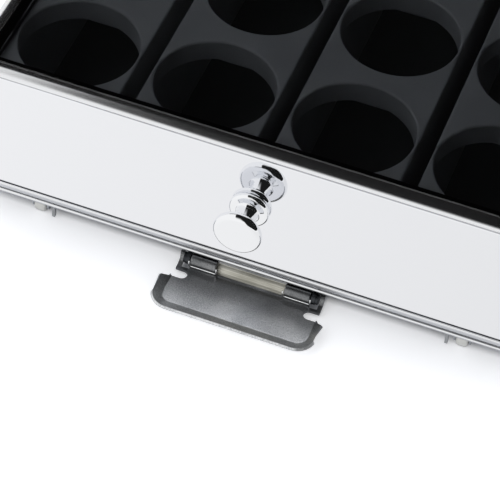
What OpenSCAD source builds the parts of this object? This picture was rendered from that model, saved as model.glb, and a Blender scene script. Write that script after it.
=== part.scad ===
// Rolling drawer for coffee pods, with a glass top that carries the coffee maker.
// Sizes are in millimetres. X runs across the front, Y from front to back and Z up.
// The origin is on the table, at the middle of the width and of the whole depth.
// Inside the modules Y starts at the face of the front panel, and to_frame() moves it to the origin.

/* [Pod racks] */
// Rows of sockets from front to back
rows = 6; // [3:1:8]
// Distance between the centres of neighbouring sockets
socket_pitch = 54.5; // [53:0.5:60]
// Diameter of a socket
socket_d = 45.8; // [40:0.1:46]
// Depth of the collar round a socket
collar_h = 9; // [5:1:15]
// Width of a rack strip
rack_w = 48.3; // [48.2:0.1:50]
// Height of a rack
rack_h = 50; // [46:1:60]
// Thickness of the top plate of a rack
rack_plate_t = 2; // [1.5:0.1:3]
// Thickness of the skirts of a rack
rack_skirt_t = 1.2; // [1:0.1:1.6]
// Distance from the last socket to the end of a rack
rack_end = 2.4; // [2:0.1:5]

/* [Drawer] */
// Sheet thickness of the tray
tray_t = 1; // [0.8:0.1:1.5]
// Height of the tray's walls
tray_wall_h = 45; // [38:1:48]
// Free space between the racks and the tray's side walls
rack_play = 1.1; // [0.6:0.1:2]
// Free space between the racks and the head of the knob's screw
front_play = 1.1; // [0.6:0.1:4]
// Free space behind the racks
rear_play = 0.8; // [0.5:0.1:2]
// Thickness of the front panel, hems included
panel_t = 2.4; // [2:0.1:4]
// Radius of the front panel's long edges
panel_edge_r = 0.9; // [0.5:0.1:1.5]
// Gap between the front panel and the frame round it
panel_gap = 0.75; // [0.5:0.05:1.5]
// Height from the top of the racks to the top of the front panel
headroom = 3.7; // [3:0.1:6]
// Height of the panel's lower screws above its lower edge
panel_screw_low = 10; // [8:0.5:16]
// Depth of the panel's upper screws below its upper edge
panel_screw_high = 14; // [12:0.5:20]
// How far the drawer opens, which places the stops
travel = 270; // [200:5:275]

/* [Knob] */
// Diameter of the knob's cap
knob_cap_d = 18.8; // [14:0.2:26]
// Thickness of the knob's cap
knob_cap_t = 4.6; // [3:0.1:6]
// Diameter of the knob's foot
knob_foot_d = 15.6; // [10:0.2:22]
// Thickness of the knob's foot
knob_foot_t = 3; // [2:0.1:4]
// Diameter of the knob's neck
knob_neck_d = 7.6; // [6:0.1:10]
// How far the knob stands out from the front panel
knob_reach = 15.8; // [13:0.1:24]
// Height of the knob above the middle of the front panel
knob_lift = 1.7; // [-10:0.1:10]

/* [Body] */
// Sheet thickness of the body
sheet_t = 1.2; // [1:0.1:2]
// Radius of the body's upright corners
corner_r = 10; // [9.8:0.1:14]
// Height of the body's lower edge above the table
ground_gap = 9; // [8.8:0.1:12]
// Height of the sill under the front panel
sill_h = 4.75; // [4.5:0.05:6]
// Depth of the sill from front to back
sill_d = 4.5; // [4:0.1:4.8]
// Height of the groove along the sill
sill_groove = 0.7; // [0.4:0.1:1]
// Height of the groove above the sill's lower edge
sill_groove_z = 1.65; // [1.5:0.05:2.5]
// How far the sill's lower lip stands out
sill_lip = 0.4; // [0.2:0.1:0.8]
// Space between the tray and each side panel
runner_space = 5.8; // [5.6:0.1:8]
// Space between the tray and the back panel
back_space = 8; // [7:0.1:16]

/* [Glass top] */
// Width of the rim round the glass
rim_w = 5.4; // [5:0.1:5.6]
// Height of the rim above the side panels
rim_h = 2.2; // [2:0.1:3]
// Width of the ledge that carries the glass
ledge_w = 3.9; // [3:0.1:4]
// Thickness of the ledge
ledge_t = 1; // [0.8:0.1:1.2]
// Thickness of the glass
glass_t = 3.2; // [3:0.1:4]
// Thickness of the seal under the glass
seal_t = 0.4; // [0.3:0.05:0.6]
// Gap between the glass and the rim
glass_gap = 0.3; // [0.2:0.05:0.6]

/* [Runners] */
// Sheet thickness of the runners and of the drawer's rails
runner_t = 1; // [0.8:0.1:1.2]
// Radius of the rollers
roller_r = 4; // [3:0.1:4.5]
// Height of the runners above the tray's floor
runner_lift = 6.2; // [5:0.1:16]
// Distance from the front panel to the front rollers
front_roller_y = 18; // [17.5:0.5:24]
// Distance from the tray's back to the rear rollers
rear_roller_inset = 7.2; // [6:0.1:12]

/* [Lever] */
// Distance of the lever's middle to the right of the body's middle
lever_x = 2.8; // [-6:0.1:6]
// Width of the lever's dish
lever_w = 65.8; // [60:0.2:80]
// Width of the lever's neck
neck_w = 58; // [56:1:60]
// How far the lever reaches in front of the front panel
lever_reach = 27.2; // [24:0.1:34]
// Sheet thickness of the lever
lever_t = 1.2; // [1:0.1:1.4]
// Height of the dish's underside above the table
lever_z = 1.8; // [1.5:0.1:2]
// Height of the dish's lip
lip_h = 3; // [1.5:0.1:4]
// Width of the sloping lip at the sides of the dish
lip_side = 3.5; // [2:0.1:4]
// Width of the sloping lip at the front of the dish
lip_front = 5; // [3:0.1:6]
// Length over which the lip rises from the notch
lip_run = 2.3; // [1:0.1:4]
// Corner radius of the dish
dish_r = 7.5; // [6:0.5:12]
// Radius of the bend from the dish up to the neck's wall
bend_r = 3.6; // [2.5:0.1:4]
// Width of the notch between neck and dish
notch_w = 4.4; // [2:0.1:5]
// Distance from the front panel to the notch
notch_y = 4.6; // [4.4:0.1:8]
// How far the notch goes in from the edge of the neck
notch_d = 5.5; // [3:0.1:8]
// Width of a hinge knuckle
knuckle_w = 10.3; // [8:0.1:11]
// Distance from the middle of the lever to a knuckle's middle
knuckle_x = 18.9; // [15:0.1:19.5]
// Wall of a knuckle round its pin
knuckle_t = 1.2; // [1:0.1:1.3]
// Radius of the lever's hinge pins
pin_r = 1.5; // [1.2:0.1:1.6]
// Distance of the hinge pins in front of the panel
pin_y = 0.3; // [0:0.1:1]
// Height of the hinge pins above the table
pin_z = 5.5; // [5.3:0.1:5.7]
// Distance of the neck's wall behind the face of the panel
neck_back = 0.3; // [0:0.1:0.6]
// Thickness of the ears that hold the pins
ear_t = 1.6; // [1.2:0.1:2]

/* [Wheels and feet] */
// Radius of a wheel
wheel_r = 4; // [3.6:0.1:4.1]
// Width of a wheel
wheel_w = 4.8; // [4:0.1:6]
// Distance from the side of the body to the wheels
wheel_inset = 29.5; // [27:0.5:40]
// Radius of the wheels' axles
axle_r = 1.2; // [1:0.1:1.3]
// Distance from the front panel to the front wheels
front_wheel_y = 5.6; // [5.4:0.1:6.5]
// Height of the front wheels above the table while the lever rests
wheel_lift = 0.4; // [0.3:0.05:0.6]
// Distance from the body's back to the rear wheels
rear_wheel_inset = 22; // [18:0.5:40]
// Radius of a foot
foot_r = 6.5; // [5:0.1:7]
// Distance from the side of the body to the feet
foot_inset = 16; // [14:0.5:18]
// Distance from the front panel to the feet
foot_y = 27; // [24:0.5:50]
// Depth of the recess for a foot's screw
foot_recess = 4; // [3:0.1:6]

/* [Fasteners and fits] */
// Radius of the screws and rivets
screw_r = 1.5; // [1.2:0.1:1.6]
// Radius of their heads
screw_head_r = 2.7; // [2.2:0.1:2.8]
// Height of their heads
screw_head_h = 0.9; // [0.7:0.1:1]
// Radius of the heads of the rivets
rivet_head_r = 2.3; // [2:0.1:2.5]
// Height of the heads of the rivets
rivet_head_h = 0.6; // [0.5:0.1:0.8]
// Radius of the knob's screw
knob_screw_r = 2; // [1.5:0.1:2.2]
// Height of the head of the knob's screw
knob_screw_head_h = 1.6; // [1.2:0.1:2]
// Radial gap of a turning fit
running_fit = 0.05; // [0.02:0.01:0.09]
// Radial gap of a tight fit
tight_fit = 0.02; // [0.01:0.01:0.03]
// Gap between pieces that pass each other
clearance = 0.3; // [0.25:0.05:0.4]
// Gap between the ends of turning pieces and what holds them
end_gap = 0.4; // [0.3:0.05:0.5]
// Seam between fixed pieces that lie side by side
seam = 0.1; // [0.05:0.05:0.2]

/* [Hidden] */
$fn = 64;
over = 1;                      // how far a cut runs past the solid it opens
snap = 10000;                  // profile points keep to steps of 1 mm over this, so seams meet

// Racks and tray
columns = 4;
rack_len = (rows - 1) * socket_pitch + socket_d + 2 * rack_end;
tray_in_w = (columns - 1) * socket_pitch + rack_w + 2 * rack_play;
tray_w = tray_in_w + 2 * tray_t;
rack_y = panel_t + tray_t + knob_screw_head_h + front_play;
first_socket_y = rack_y + rack_end + socket_d / 2;
tray_back_y = rack_y + rack_len + rear_play + tray_t;
tray_lift = 0.3;               // the tray's floor stands this much above the panel's lower edge
rib_t = 1.2;
rib_h = 14;

// Body
body_w = tray_w + 2 * runner_space + 2 * sheet_t;
body_d = tray_back_y + back_space + sheet_t;
half_w = body_w / 2;
inner_w = half_w - sheet_t;
corner_x = half_w - corner_r;
tray_r = tray_w / 2 - corner_x;  // the tray's front corners follow the panel's round ends
back_y = body_d;
sill_top = ground_gap + sill_h;
panel_z = sill_top + panel_gap;
tray_z = panel_z + tray_lift;
rack_z = tray_z + tray_t;
panel_h = tray_lift + tray_t + rack_h + headroom;
panel_top = panel_z + panel_h;
rim_z = panel_top + panel_gap;
top_z = rim_z + rim_h;
ledge_z = top_z - glass_t - seal_t - ledge_t;
base_t = sheet_t;
base_rise = 3.4;               // the base pan lies this much above the body's lower edge
base_z = ground_gap + base_rise;
base_flange_h = 3.2;
base_in = sheet_t + 2 * seam;
base_lug = 4;
sill_back = sill_d + 4 * seam;
return_w = 10;                 // width of the side panels' return on the back
lap_w = 14;
back_w = body_w - 2 * corner_r - 2 * return_w - 2 * clearance;
y_shift = (lever_reach - back_y - screw_head_h) / 2;

// Runners, rails and rollers
channel_x = inner_w - 2 * seam;  // outer face of the runner's web
channel_in_x = channel_x - runner_t;
rail_x = tray_w / 2;
rail_out_x = rail_x + runner_t;
roller_x0 = rail_out_x + end_gap;
roller_x1 = channel_in_x - end_gap;
flange_x = rail_out_x + 2 * clearance;
channel_z = rack_z + runner_lift;
channel_in_h = 2 * roller_r + 2 * clearance;
channel_top = channel_z + channel_in_h + runner_t;
rear_roller_z = channel_z + clearance + roller_r;
rear_roller_y = tray_back_y - rear_roller_inset;
rail_z = channel_top + clearance;
front_roller_z = rail_z - clearance - roller_r;
channel_lead = 3;              // the runner starts this far in front of its roller
channel_y0 = front_roller_y - roller_r - channel_lead;
channel_y1 = back_y - corner_r;  // the runners end where the side panels turn round the corners
flange_lead = 2;               // the upper flange starts this far behind the roller
channel_cut_y = front_roller_y + roller_r + flange_lead;
rail_y0 = corner_r + clearance;
stop_h = 1.2;
stop_t = 1;
stop_reach = sqrt(pow(roller_r, 2) - pow(roller_r + clearance - stop_h, 2));
stop_y = rear_roller_y - travel - stop_reach - clearance - stop_t;
roller_pin_r = 1.2;
rivet_z = channel_z + channel_in_h / 2;
rail_rivet_drop = 4;
rail_rivet_z = rail_z - rail_rivet_drop;
bumper_x = 60;
bumper_z = 42;
bumper_r = 5;

// Front panel and knob
knob_z = panel_z + panel_h / 2 + knob_lift;
knob_bore = 10;
panel_screw_zs = [panel_z + panel_screw_low, panel_top - panel_screw_high];
panel_screw_tip = 0.8;         // sheet left in front of the panel's screws

// Frame screws
lug_w = 12;
lug_h = 11;
lug_inset = 40;
lug_lap = 0.5;
screw_drop = 7;                // the frame's screws sit this much below its lugs' upper end
screw_z = rim_z - screw_drop;
side_screw_ys = [lug_inset, back_y / 2, back_y - lug_inset];
base_screw_z = base_z - base_flange_h / 2;
rear_screw_x = half_w - corner_r - return_w / 2;

// Lever and its bracket
pivot = [-pin_y, pin_z];
floor_top = lever_z + lever_t;
knuckle_r = pin_r + knuckle_t;
knuckle_in_x = knuckle_x - knuckle_w / 2;
knuckle_out_x = knuckle_x + knuckle_w / 2;
flange_top = pin_z + knuckle_r;
ear_x = knuckle_out_x + end_gap;
ear_wall = 0.9;
ear_r = pin_r + ear_wall;
pin_head_x = ear_x + ear_t + seam / 2;
pin_head_lap = 0.6;
pin_head_r = pin_r + pin_head_lap;
pin_head_h = 1;
neck_cut_y = -pin_y - ear_r - clearance;        // the neck is cut out round the ears from here back
wing_x = pin_head_x + pin_head_h + clearance;  // outside the pins' heads it is whole again
dish_rear_y = -notch_y - notch_w;
bracket_t = 1;
bracket_z = base_z - bracket_t;
bracket_rivet_x = 16;
bracket_rivet_y = sill_back + rivet_head_r + clearance;
stop_tab_y = bracket_rivet_y + rivet_head_r + end_gap;
flange_y1 = stop_tab_y + lever_t;
bracket_end = 1;               // the bracket reaches this far past the lever's stop tab
ear_y1 = flange_y1 + bracket_end;
lug_x = 20;

// Wheels
wheel_x = half_w - wheel_inset;
foot_x = half_w - foot_inset;
axle_z = wheel_r + wheel_lift;
axle_wall = 1.1;
axle_lug_r = axle_r + axle_wall;
axle_end = 1.2;                // the axle stands out this far past its wheel
axle_end_x = wheel_x + wheel_w / 2 + axle_end;
clip_t = 0.6;
clip_wall = 1.3;
clip_r = axle_r + clip_wall;
ear_low_z = axle_z + axle_r + 2 * clearance;
fork_play = 0.5;
fork_gap = wheel_w / 2 + fork_play;
fork_t = 1.2;
fork_half = 10.5;
fork_boss = 1.5;
fork_rivet_dy = 7.3;
rear_wheel_y = back_y - rear_wheel_inset;
guide_side = 4;                // distance from a wheel to its axle guide
guide_x = wheel_x - wheel_w / 2 - guide_side;
guide_foot = 8;
guide_z = 1.2;
axle_play = 0.3;               // half of what the axle moves to the front as the lever lifts
guide_slot = axle_r + clearance + axle_play;
guide_prong = 1.4;
guide_rivet_x = guide_x - guide_foot / 2;

function arc(c, r, a0, a1, n = 8) =
    [for (i = [0:n]) let (a = a0 + (a1 - a0) * i / n) c + r * [cos(a), sin(a)]];
function round_rect(x0, y0, x1, y1, r) = concat(
    arc([x1 - r, y1 - r], r, 0, 90), arc([x0 + r, y1 - r], r, 90, 180),
    arc([x0 + r, y0 + r], r, 180, 270), arc([x1 - r, y0 + r], r, 270, 360));

module to_frame() translate([0, y_shift, 0]) children();
// A profile drawn in Y and Z, made dx long in X from x0
module across(x0, dx) translate([x0, 0, 0]) rotate([90, 0, 90]) linear_extrude(dx) children();
// A profile drawn in X and Y, made dz high from z0
module upright(z0, dz) translate([0, 0, z0]) linear_extrude(dz) children();
module rod_x(x0, x1, y, z, r) translate([x0, y, z]) rotate([0, 90, 0]) cylinder(x1 - x0, r, r);
module rod_y(x, y0, y1, z, r) translate([x, y1, z]) rotate([90, 0, 0]) cylinder(y1 - y0, r, r);
module rod_z(x, y, z0, z1, r) translate([x, y, z0]) cylinder(z1 - z0, r, r);
module both_sides() { children(); mirror([1, 0, 0]) children(); }
module left_side() mirror([1, 0, 0]) children();
module block(x0, x1, y0, y1, z0, z1) translate([x0, y0, z0]) cube([x1 - x0, y1 - y0, z1 - z0]);

// A profile of points [distance in from the body's outline, height] led round the body
module round_body(profile) {
    shifted = [for (p = profile) [corner_r - p[0], p[1]]];
    translate([0, body_d / 2, 0])
        for (q = [0:3]) rotate(q * 90) {
            sx = (q % 2 == 0 ? body_w : body_d) / 2 - corner_r;
            sy = (q % 2 == 0 ? body_d : body_w) / 2 - corner_r;
            translate([sx, sy, 0]) rotate_extrude(angle = 90) polygon(shifted);
            translate([sx, sy, 0]) rotate([90, 0, 0]) linear_extrude(2 * sy) polygon(shifted);
        }
}

// The same along the front and round its two corners, which end short of the side panels
module round_front(profile, gap) {
    snapped = [for (p = profile) [round(p[0] * snap) / snap, p[1]]];
    shifted = [for (p = snapped) [corner_r - p[0], p[1]]];
    across(-corner_x, 2 * corner_x) polygon(snapped);
    both_sides() translate([corner_x, corner_r, 0]) rotate(-90)
        rotate_extrude(angle = 90 - asin(gap / corner_r)) polygon(shifted);
}

// ---- Body ----

module top_frame() color("lightgrey") to_frame() {
    web_t = 1;
    land_w = 1.2;
    nose_w = rim_w - land_w;
    nose = [for (i = [0:8]) [nose_w - nose_w * cos(i * 90 / 8), rim_z + rim_h * sin(i * 90 / 8)]];
    round_body(concat(nose, [[rim_w, top_z], [rim_w, ledge_z + ledge_t],
        [rim_w + ledge_w, ledge_z + ledge_t], [rim_w + ledge_w, ledge_z],
        [rim_w - web_t, ledge_z], [rim_w - web_t, rim_z]]));
    difference() {
        both_sides() for (y = side_screw_ys)
            block(inner_w - sheet_t, inner_w, y - lug_w / 2, y + lug_w / 2,
                rim_z - lug_h, rim_z + lug_lap);
        both_sides() for (y = side_screw_ys)
            rod_x(inner_w - sheet_t - over, inner_w + over, y, screw_z, screw_r + tight_fit);
    }
    difference() {
        both_sides() translate([rear_screw_x, back_y - 3 * sheet_t, 0])
            block(-lug_w / 3, lug_w / 3, 0, sheet_t, rim_z - lug_h, rim_z + lug_lap);
        both_sides()
            rod_y(rear_screw_x, back_y - 4 * sheet_t, back_y - sheet_t, screw_z, screw_r + tight_fit);
    }
}

module glass_plan(inset) {
    polygon(round_rect(inset - half_w, inset, half_w - inset, back_y - inset, corner_r - inset));
}

module glass_top() color("slategrey", 0.4) to_frame()
    upright(top_z - glass_t, glass_t) glass_plan(rim_w + glass_gap);

module glass_seal() color("dimgrey") to_frame() upright(ledge_z + ledge_t, seal_t)
    difference() {
        glass_plan(rim_w + glass_gap);
        glass_plan(rim_w + ledge_w);
    }

module side_panel() difference() {
    upright(ground_gap, rim_z - ground_gap) polygon(concat(
        [[half_w - sheet_t, corner_r], [half_w, corner_r]],
        arc([corner_x, back_y - corner_r], corner_r, 0, 90),
        [[corner_x - return_w, back_y], [corner_x - return_w, back_y - sheet_t]],
        arc([corner_x, back_y - corner_r], corner_r - sheet_t, 90, 0)));
    for (y = side_screw_ys, z = [screw_z, base_screw_z])
        rod_x(inner_w - over, half_w + over, y, z, screw_r + tight_fit);
    for (z = [screw_z, base_screw_z])
        rod_y(rear_screw_x, back_y - sheet_t - over, back_y + over, z, screw_r + tight_fit);
}

module side_panel_right() color("silver") to_frame() side_panel();
module side_panel_left() color("silver") to_frame() left_side() side_panel();

module back_panel() color("silver") to_frame() difference() {
    union() {
        block(-back_w / 2, back_w / 2, back_y - sheet_t, back_y, ground_gap, rim_z);
        both_sides() block(rear_screw_x - lap_w / 2 - base_lug, rear_screw_x + base_lug,
            back_y - 2 * sheet_t, back_y - sheet_t, ground_gap, rim_z - sheet_t);
    }
    both_sides() for (z = [screw_z, base_screw_z])
        rod_y(rear_screw_x, back_y - 3 * sheet_t, back_y, z, screw_r + tight_fit);
}

module base_pan() color("darkgrey") to_frame() {
    rear_y = back_y - 2 * base_in;
    front_r = corner_r - sill_d - seam;
    difference() {
        union() {
            upright(base_z, base_t) polygon(concat(
                arc([corner_x, corner_r], front_r, -90, 0), [[corner_x + front_r, corner_r + seam],
                    [half_w - base_in, corner_r + seam]],
                arc([corner_x, rear_y - corner_r + base_in], corner_r - base_in, 0, 90),
                arc([-corner_x, rear_y - corner_r + base_in], corner_r - base_in, 90, 180),
                [[base_in - half_w, corner_r + seam], [-corner_x - front_r, corner_r + seam]],
                arc([-corner_x, corner_r], front_r, 180, 270)));
            both_sides() block(half_w - base_in - sheet_t, half_w - base_in, corner_r + base_lug,
                back_y - corner_r - base_lug, base_z - base_flange_h, base_z + base_t / 2);
            block(-rear_screw_x - base_lug, rear_screw_x + base_lug, rear_y - sheet_t, rear_y,
                base_z - base_flange_h, base_z + base_t / 2);
        }
        both_sides() {
            for (y = side_screw_ys)
                rod_x(inner_w - 3 * sheet_t, inner_w + over, y, base_screw_z, screw_r + tight_fit);
            rod_y(rear_screw_x, back_y - 5 * sheet_t, back_y, base_screw_z, screw_r + tight_fit);
            base_hole(foot_x, foot_y);
            base_hole(guide_rivet_x, bracket_rivet_y);
            for (side = [-1, 1]) base_hole(wheel_x, rear_wheel_y + side * fork_rivet_dy);
        }
        for (side = [-1, 1]) base_hole(lever_x + side * bracket_rivet_x, bracket_rivet_y);
    }
}
module base_hole(x, y) rod_z(x, y, bracket_z - over, base_z + base_t + over, screw_r + tight_fit);

// Chrome strip under the front panel, with a groove along it
module sill() color("gainsboro") to_frame() {
    edge_r = 0.7;
    groove_z = ground_gap + sill_groove_z;
    groove_d = 1.2;
    round_front(concat(
        [[sill_d, ground_gap], [sill_d, sill_top]],
        arc([edge_r, sill_top - edge_r], edge_r, 90, 180),
        [[0, groove_z + sill_groove], [groove_d, groove_z + sill_groove], [groove_d, groove_z]],
        arc([edge_r - sill_lip, groove_z - edge_r], edge_r, 90, 180),
        arc([edge_r - sill_lip, ground_gap + edge_r], edge_r, 180, 270)), seam);
}

module runner() {
    difference() {
        union() {
            block(channel_in_x, channel_x, channel_y0, channel_y1, channel_z - runner_t, channel_top);
            block(flange_x, channel_x, channel_y0, channel_y1,
                channel_z - runner_t, channel_z);
            block(flange_x, channel_x, channel_cut_y, channel_y1,
                channel_top - runner_t, channel_top);
            block(flange_x, channel_x, stop_y, stop_y + stop_t,
                channel_top - runner_t - stop_h, channel_top);
        }
        for (y = side_screw_ys)
            rod_x(channel_in_x - over, channel_x + over, y, rivet_z, screw_r + tight_fit);
        rod_x(channel_in_x - over, channel_x + over, front_roller_y, front_roller_z,
            roller_pin_r + tight_fit);
    }
}

module runner_right() color("lightsteelblue") to_frame() runner();
module runner_left() color("lightsteelblue") to_frame() left_side() runner();

module front_roller_pins() color("grey") to_frame() both_sides() {
    rod_x(rail_out_x + clearance / 2, channel_x, front_roller_y, front_roller_z, roller_pin_r);
}

module rear_bumpers() color("dimgrey") to_frame() both_sides()
    rod_y(bumper_x, tray_back_y + clearance, back_y - sheet_t, bumper_z, bumper_r);

// ---- Lever mounting, feet and wheels of the body ----

module at_lever() to_frame() translate([lever_x, 0, 0]) children();

module lever_bracket() color("dimgrey") at_lever() difference() {
    union() {
        block(-ear_x - ear_t, ear_x + ear_t, sill_back, ear_y1, bracket_z, base_z);
        both_sides() across(ear_x, ear_t) union() {
            translate(pivot) circle(ear_r);
            polygon([[-pin_y, pin_z + ear_r], [-pin_y, pin_z - ear_r],
                [front_wheel_y - 1.5 * axle_r, ear_low_z], [front_wheel_y, ear_low_z],
                [ear_y1, bracket_z - bracket_t], [ear_y1, base_z], [sill_back, base_z],
                [sill_back, ground_gap - clearance]]);
        }
    }
    both_sides() {
        rod_x(ear_x - over, ear_x + ear_t + over, -pin_y, pin_z, pin_r + tight_fit);
        base_hole(bracket_rivet_x, bracket_rivet_y);
    }
}

// Two short pins, each from its ear through a knuckle
module lever_pins() color("silver") at_lever() both_sides() {
    rod_x(knuckle_in_x + end_gap, pin_head_x, -pin_y, pin_z, pin_r);
    rod_x(pin_head_x, pin_head_x + pin_head_h, -pin_y, pin_z, pin_head_r);
}

// Slotted plates that guide the axle of the front wheels up and down
module axle_guides() color("dimgrey") to_frame() both_sides() difference() {
    slot_y = front_wheel_y - axle_play;
    union() {
        across(guide_x, fork_t) polygon([[slot_y - guide_slot - guide_prong, guide_z],
            [ear_y1, guide_z], [ear_y1, base_z], [sill_back, base_z],
            [sill_back, ground_gap - clearance],
            [slot_y - guide_slot - guide_prong, ground_gap - clearance]]);
        block(guide_x - guide_foot, guide_x + fork_t, sill_back, ear_y1, base_z - fork_t, base_z);
    }
    across(guide_x - over, fork_t + 2 * over) {
        translate([slot_y, axle_z]) circle(guide_slot);
        translate([slot_y - guide_slot, 0]) square([2 * guide_slot, axle_z]);
    }
    base_hole(guide_rivet_x, bracket_rivet_y);
}

module front_feet() color("dimgrey") to_frame() both_sides() difference() {
    foot_edge = 1;
    translate([foot_x, foot_y, 0]) rotate_extrude() polygon(concat([[0, 0]],
        arc([foot_r - foot_edge, foot_edge], foot_edge, -90, 0, 6), [[foot_r, base_z], [0, base_z]]));
    rod_z(foot_x, foot_y, -over, base_z + over, screw_r + tight_fit);
    rod_z(foot_x, foot_y, -over, foot_recess, screw_head_r + clearance);
}

module foot_screws() color("silver") to_frame() both_sides() {
    rod_z(foot_x, foot_y, foot_recess - screw_head_h, foot_recess, screw_head_r);
    rod_z(foot_x, foot_y, foot_recess, base_z + base_t + clearance, screw_r);
}

module wheel_bracket() difference() {
    union() {
        block(wheel_x - fork_gap - fork_t, wheel_x + fork_gap + fork_t, rear_wheel_y - fork_half,
            rear_wheel_y + fork_half, base_z - fork_t, base_z);
        for (x = [wheel_x - fork_gap - fork_t, wheel_x + fork_gap]) across(x, fork_t) {
            translate([rear_wheel_y, wheel_r]) circle(axle_r + fork_boss);
            translate([rear_wheel_y - axle_r - fork_boss, wheel_r])
                square([2 * (axle_r + fork_boss), base_z - wheel_r]);
        }
    }
    rod_x(wheel_x - 2 * fork_gap - fork_t, wheel_x + 2 * fork_gap, rear_wheel_y, wheel_r,
        axle_r + tight_fit);
    for (side = [-1, 1]) base_hole(wheel_x, rear_wheel_y + side * fork_rivet_dy);
}
module rear_wheel_bracket_right() color("silver") to_frame() wheel_bracket();
module rear_wheel_bracket_left() color("silver") to_frame() left_side() wheel_bracket();

module rear_axles() color("silver") to_frame() both_sides() {
    head_x = wheel_x + fork_gap + fork_t + seam / 2;
    rod_x(wheel_x - fork_gap - fork_t - clip_t, head_x, rear_wheel_y, wheel_r, axle_r);
    rod_x(head_x, head_x + rivet_head_h, rear_wheel_y, wheel_r, axle_r + rivet_head_h);
}

module side_screw(y, z, length) {
    rod_x(half_w, half_w + screw_head_h, y, z, screw_head_r);
    rod_x(half_w - length, half_w, y, z, screw_r);
}
module back_screw(x, z, length) {
    rod_y(x, back_y, back_y + screw_head_h, z, screw_head_r);
    rod_y(x, back_y - length, back_y, z, screw_r);
}

module frame_screws() color("silver") to_frame() both_sides() {
    for (y = side_screw_ys) side_screw(y, screw_z, 2 * sheet_t);
    back_screw(rear_screw_x, screw_z, 3 * sheet_t);
}
module base_screws() color("silver") to_frame() both_sides() {
    for (y = side_screw_ys) side_screw(y, base_screw_z, sheet_t + base_in);
    back_screw(rear_screw_x, base_screw_z, 2 * base_in + sheet_t);
}
// Flush rivets, because the rollers pass them
module runner_rivets() color("silver") to_frame() both_sides() for (y = side_screw_ys)
    rod_x(channel_in_x, inner_w, y, rivet_z, screw_r);
module base_rivet(x, y, under) {
    rod_z(x, y, under - rivet_head_h, under, rivet_head_r);
    rod_z(x, y, under, base_z + base_t + clearance, screw_r);
}
module bracket_rivets() color("silver") {
    at_lever() both_sides() base_rivet(bracket_rivet_x, bracket_rivet_y, bracket_z);
    to_frame() both_sides() {
        base_rivet(guide_rivet_x, bracket_rivet_y, base_z - fork_t);
        for (side = [-1, 1])
            base_rivet(wheel_x, rear_wheel_y + side * fork_rivet_dy, base_z - fork_t);
    }
}

// ---- Drawer ----

// The tray's outline from above, drawn at a distance in from its walls
module tray_plan(inset) {
    x = tray_w / 2 - inset;
    polygon(concat([[x, tray_back_y - inset], [-x, tray_back_y - inset]],
        arc([tray_r - tray_w / 2, panel_t + tray_r], tray_r - inset, 180, 270),
        arc([tray_w / 2 - tray_r, panel_t + tray_r], tray_r - inset, 270, 360)));
}

module drawer_tray() color("dimgrey") to_frame() difference() {
    union() {
        upright(tray_z, tray_t) tray_plan(0);
        upright(tray_z, tray_wall_h) difference() {
            tray_plan(0);
            tray_plan(tray_t);
        }
        block(-corner_x, corner_x, panel_t, panel_t + tray_t, tray_z, panel_top - headroom);
    }
    rod_y(0, 0, panel_t + tray_t + over, knob_z, knob_screw_r + tight_fit);
    both_sides() {
        for (z = panel_screw_zs)
            rod_y(socket_pitch, 0, panel_t + tray_t + over, z, screw_r + tight_fit);
        for (y = side_screw_ys)
            rod_x(tray_w / 2 - tray_t - over, tray_w / 2 + over, y, rail_rivet_z, screw_r + tight_fit);
    }
}

// Mirror panel with round ends
module front_panel() color("gainsboro") to_frame() difference() {
    round_front(concat(
        arc([panel_edge_r, panel_top - panel_edge_r], panel_edge_r, 90, 180),
        arc([panel_edge_r, panel_z + panel_edge_r], panel_edge_r, 180, 270),
        [[panel_t, panel_z], [panel_t, panel_top]]), panel_gap);
    rod_y(0, -over, panel_t + over, knob_z, knob_screw_r + tight_fit);
    both_sides() for (z = panel_screw_zs)
        rod_y(socket_pitch, panel_screw_tip, panel_t + over, z, screw_r + tight_fit);
}

// Turned knob: a foot on the panel, a waisted neck and a cap with a round edge
module knob() color("gainsboro") to_frame() translate([0, 0, knob_z]) rotate([90, 0, 0])
    difference() {
        foot_edge = knob_foot_t / 2;
        cap_edge = knob_cap_t / 2;
        cap_z = knob_reach - knob_cap_t;
        neck_r = knob_neck_d / 2;
        waist = (cap_z - knob_foot_t) / 2;
        waist_in = 1.2;
        crown = 0.3;
        crown_a = 10;
        rotate_extrude() polygon(concat(
            [[0, 0]],
            arc([knob_foot_d / 2 - foot_edge, foot_edge], foot_edge, -90, 90, 10),
            [for (i = [0:8]) let (a = i * 180 / 8)
                [neck_r + waist_in * (1 - sin(a)), knob_foot_t + waist * (1 - cos(a))]],
            arc([knob_cap_d / 2 - cap_edge, cap_z + cap_edge], cap_edge, -90, 90 - crown_a, 12),
            [[knob_cap_d / 3, knob_reach - crown / 3], [0, knob_reach]]));
        translate([0, 0, -over]) cylinder(knob_bore + over, knob_screw_r + tight_fit,
            knob_screw_r + tight_fit);
    }

module knob_screw() color("silver") to_frame() {
    rod_y(0, clearance - knob_bore, panel_t + tray_t, knob_z, knob_screw_r);
    rod_y(0, panel_t + tray_t, panel_t + tray_t + knob_screw_head_h, knob_z, screw_head_r);
}

module panel_screws() color("silver") to_frame() both_sides() for (z = panel_screw_zs) {
    rod_y(socket_pitch, panel_screw_tip + seam, panel_t + tray_t, z, screw_r);
    rod_y(socket_pitch, panel_t + tray_t, panel_t + tray_t + screw_head_h, z, screw_head_r);
}

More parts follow.
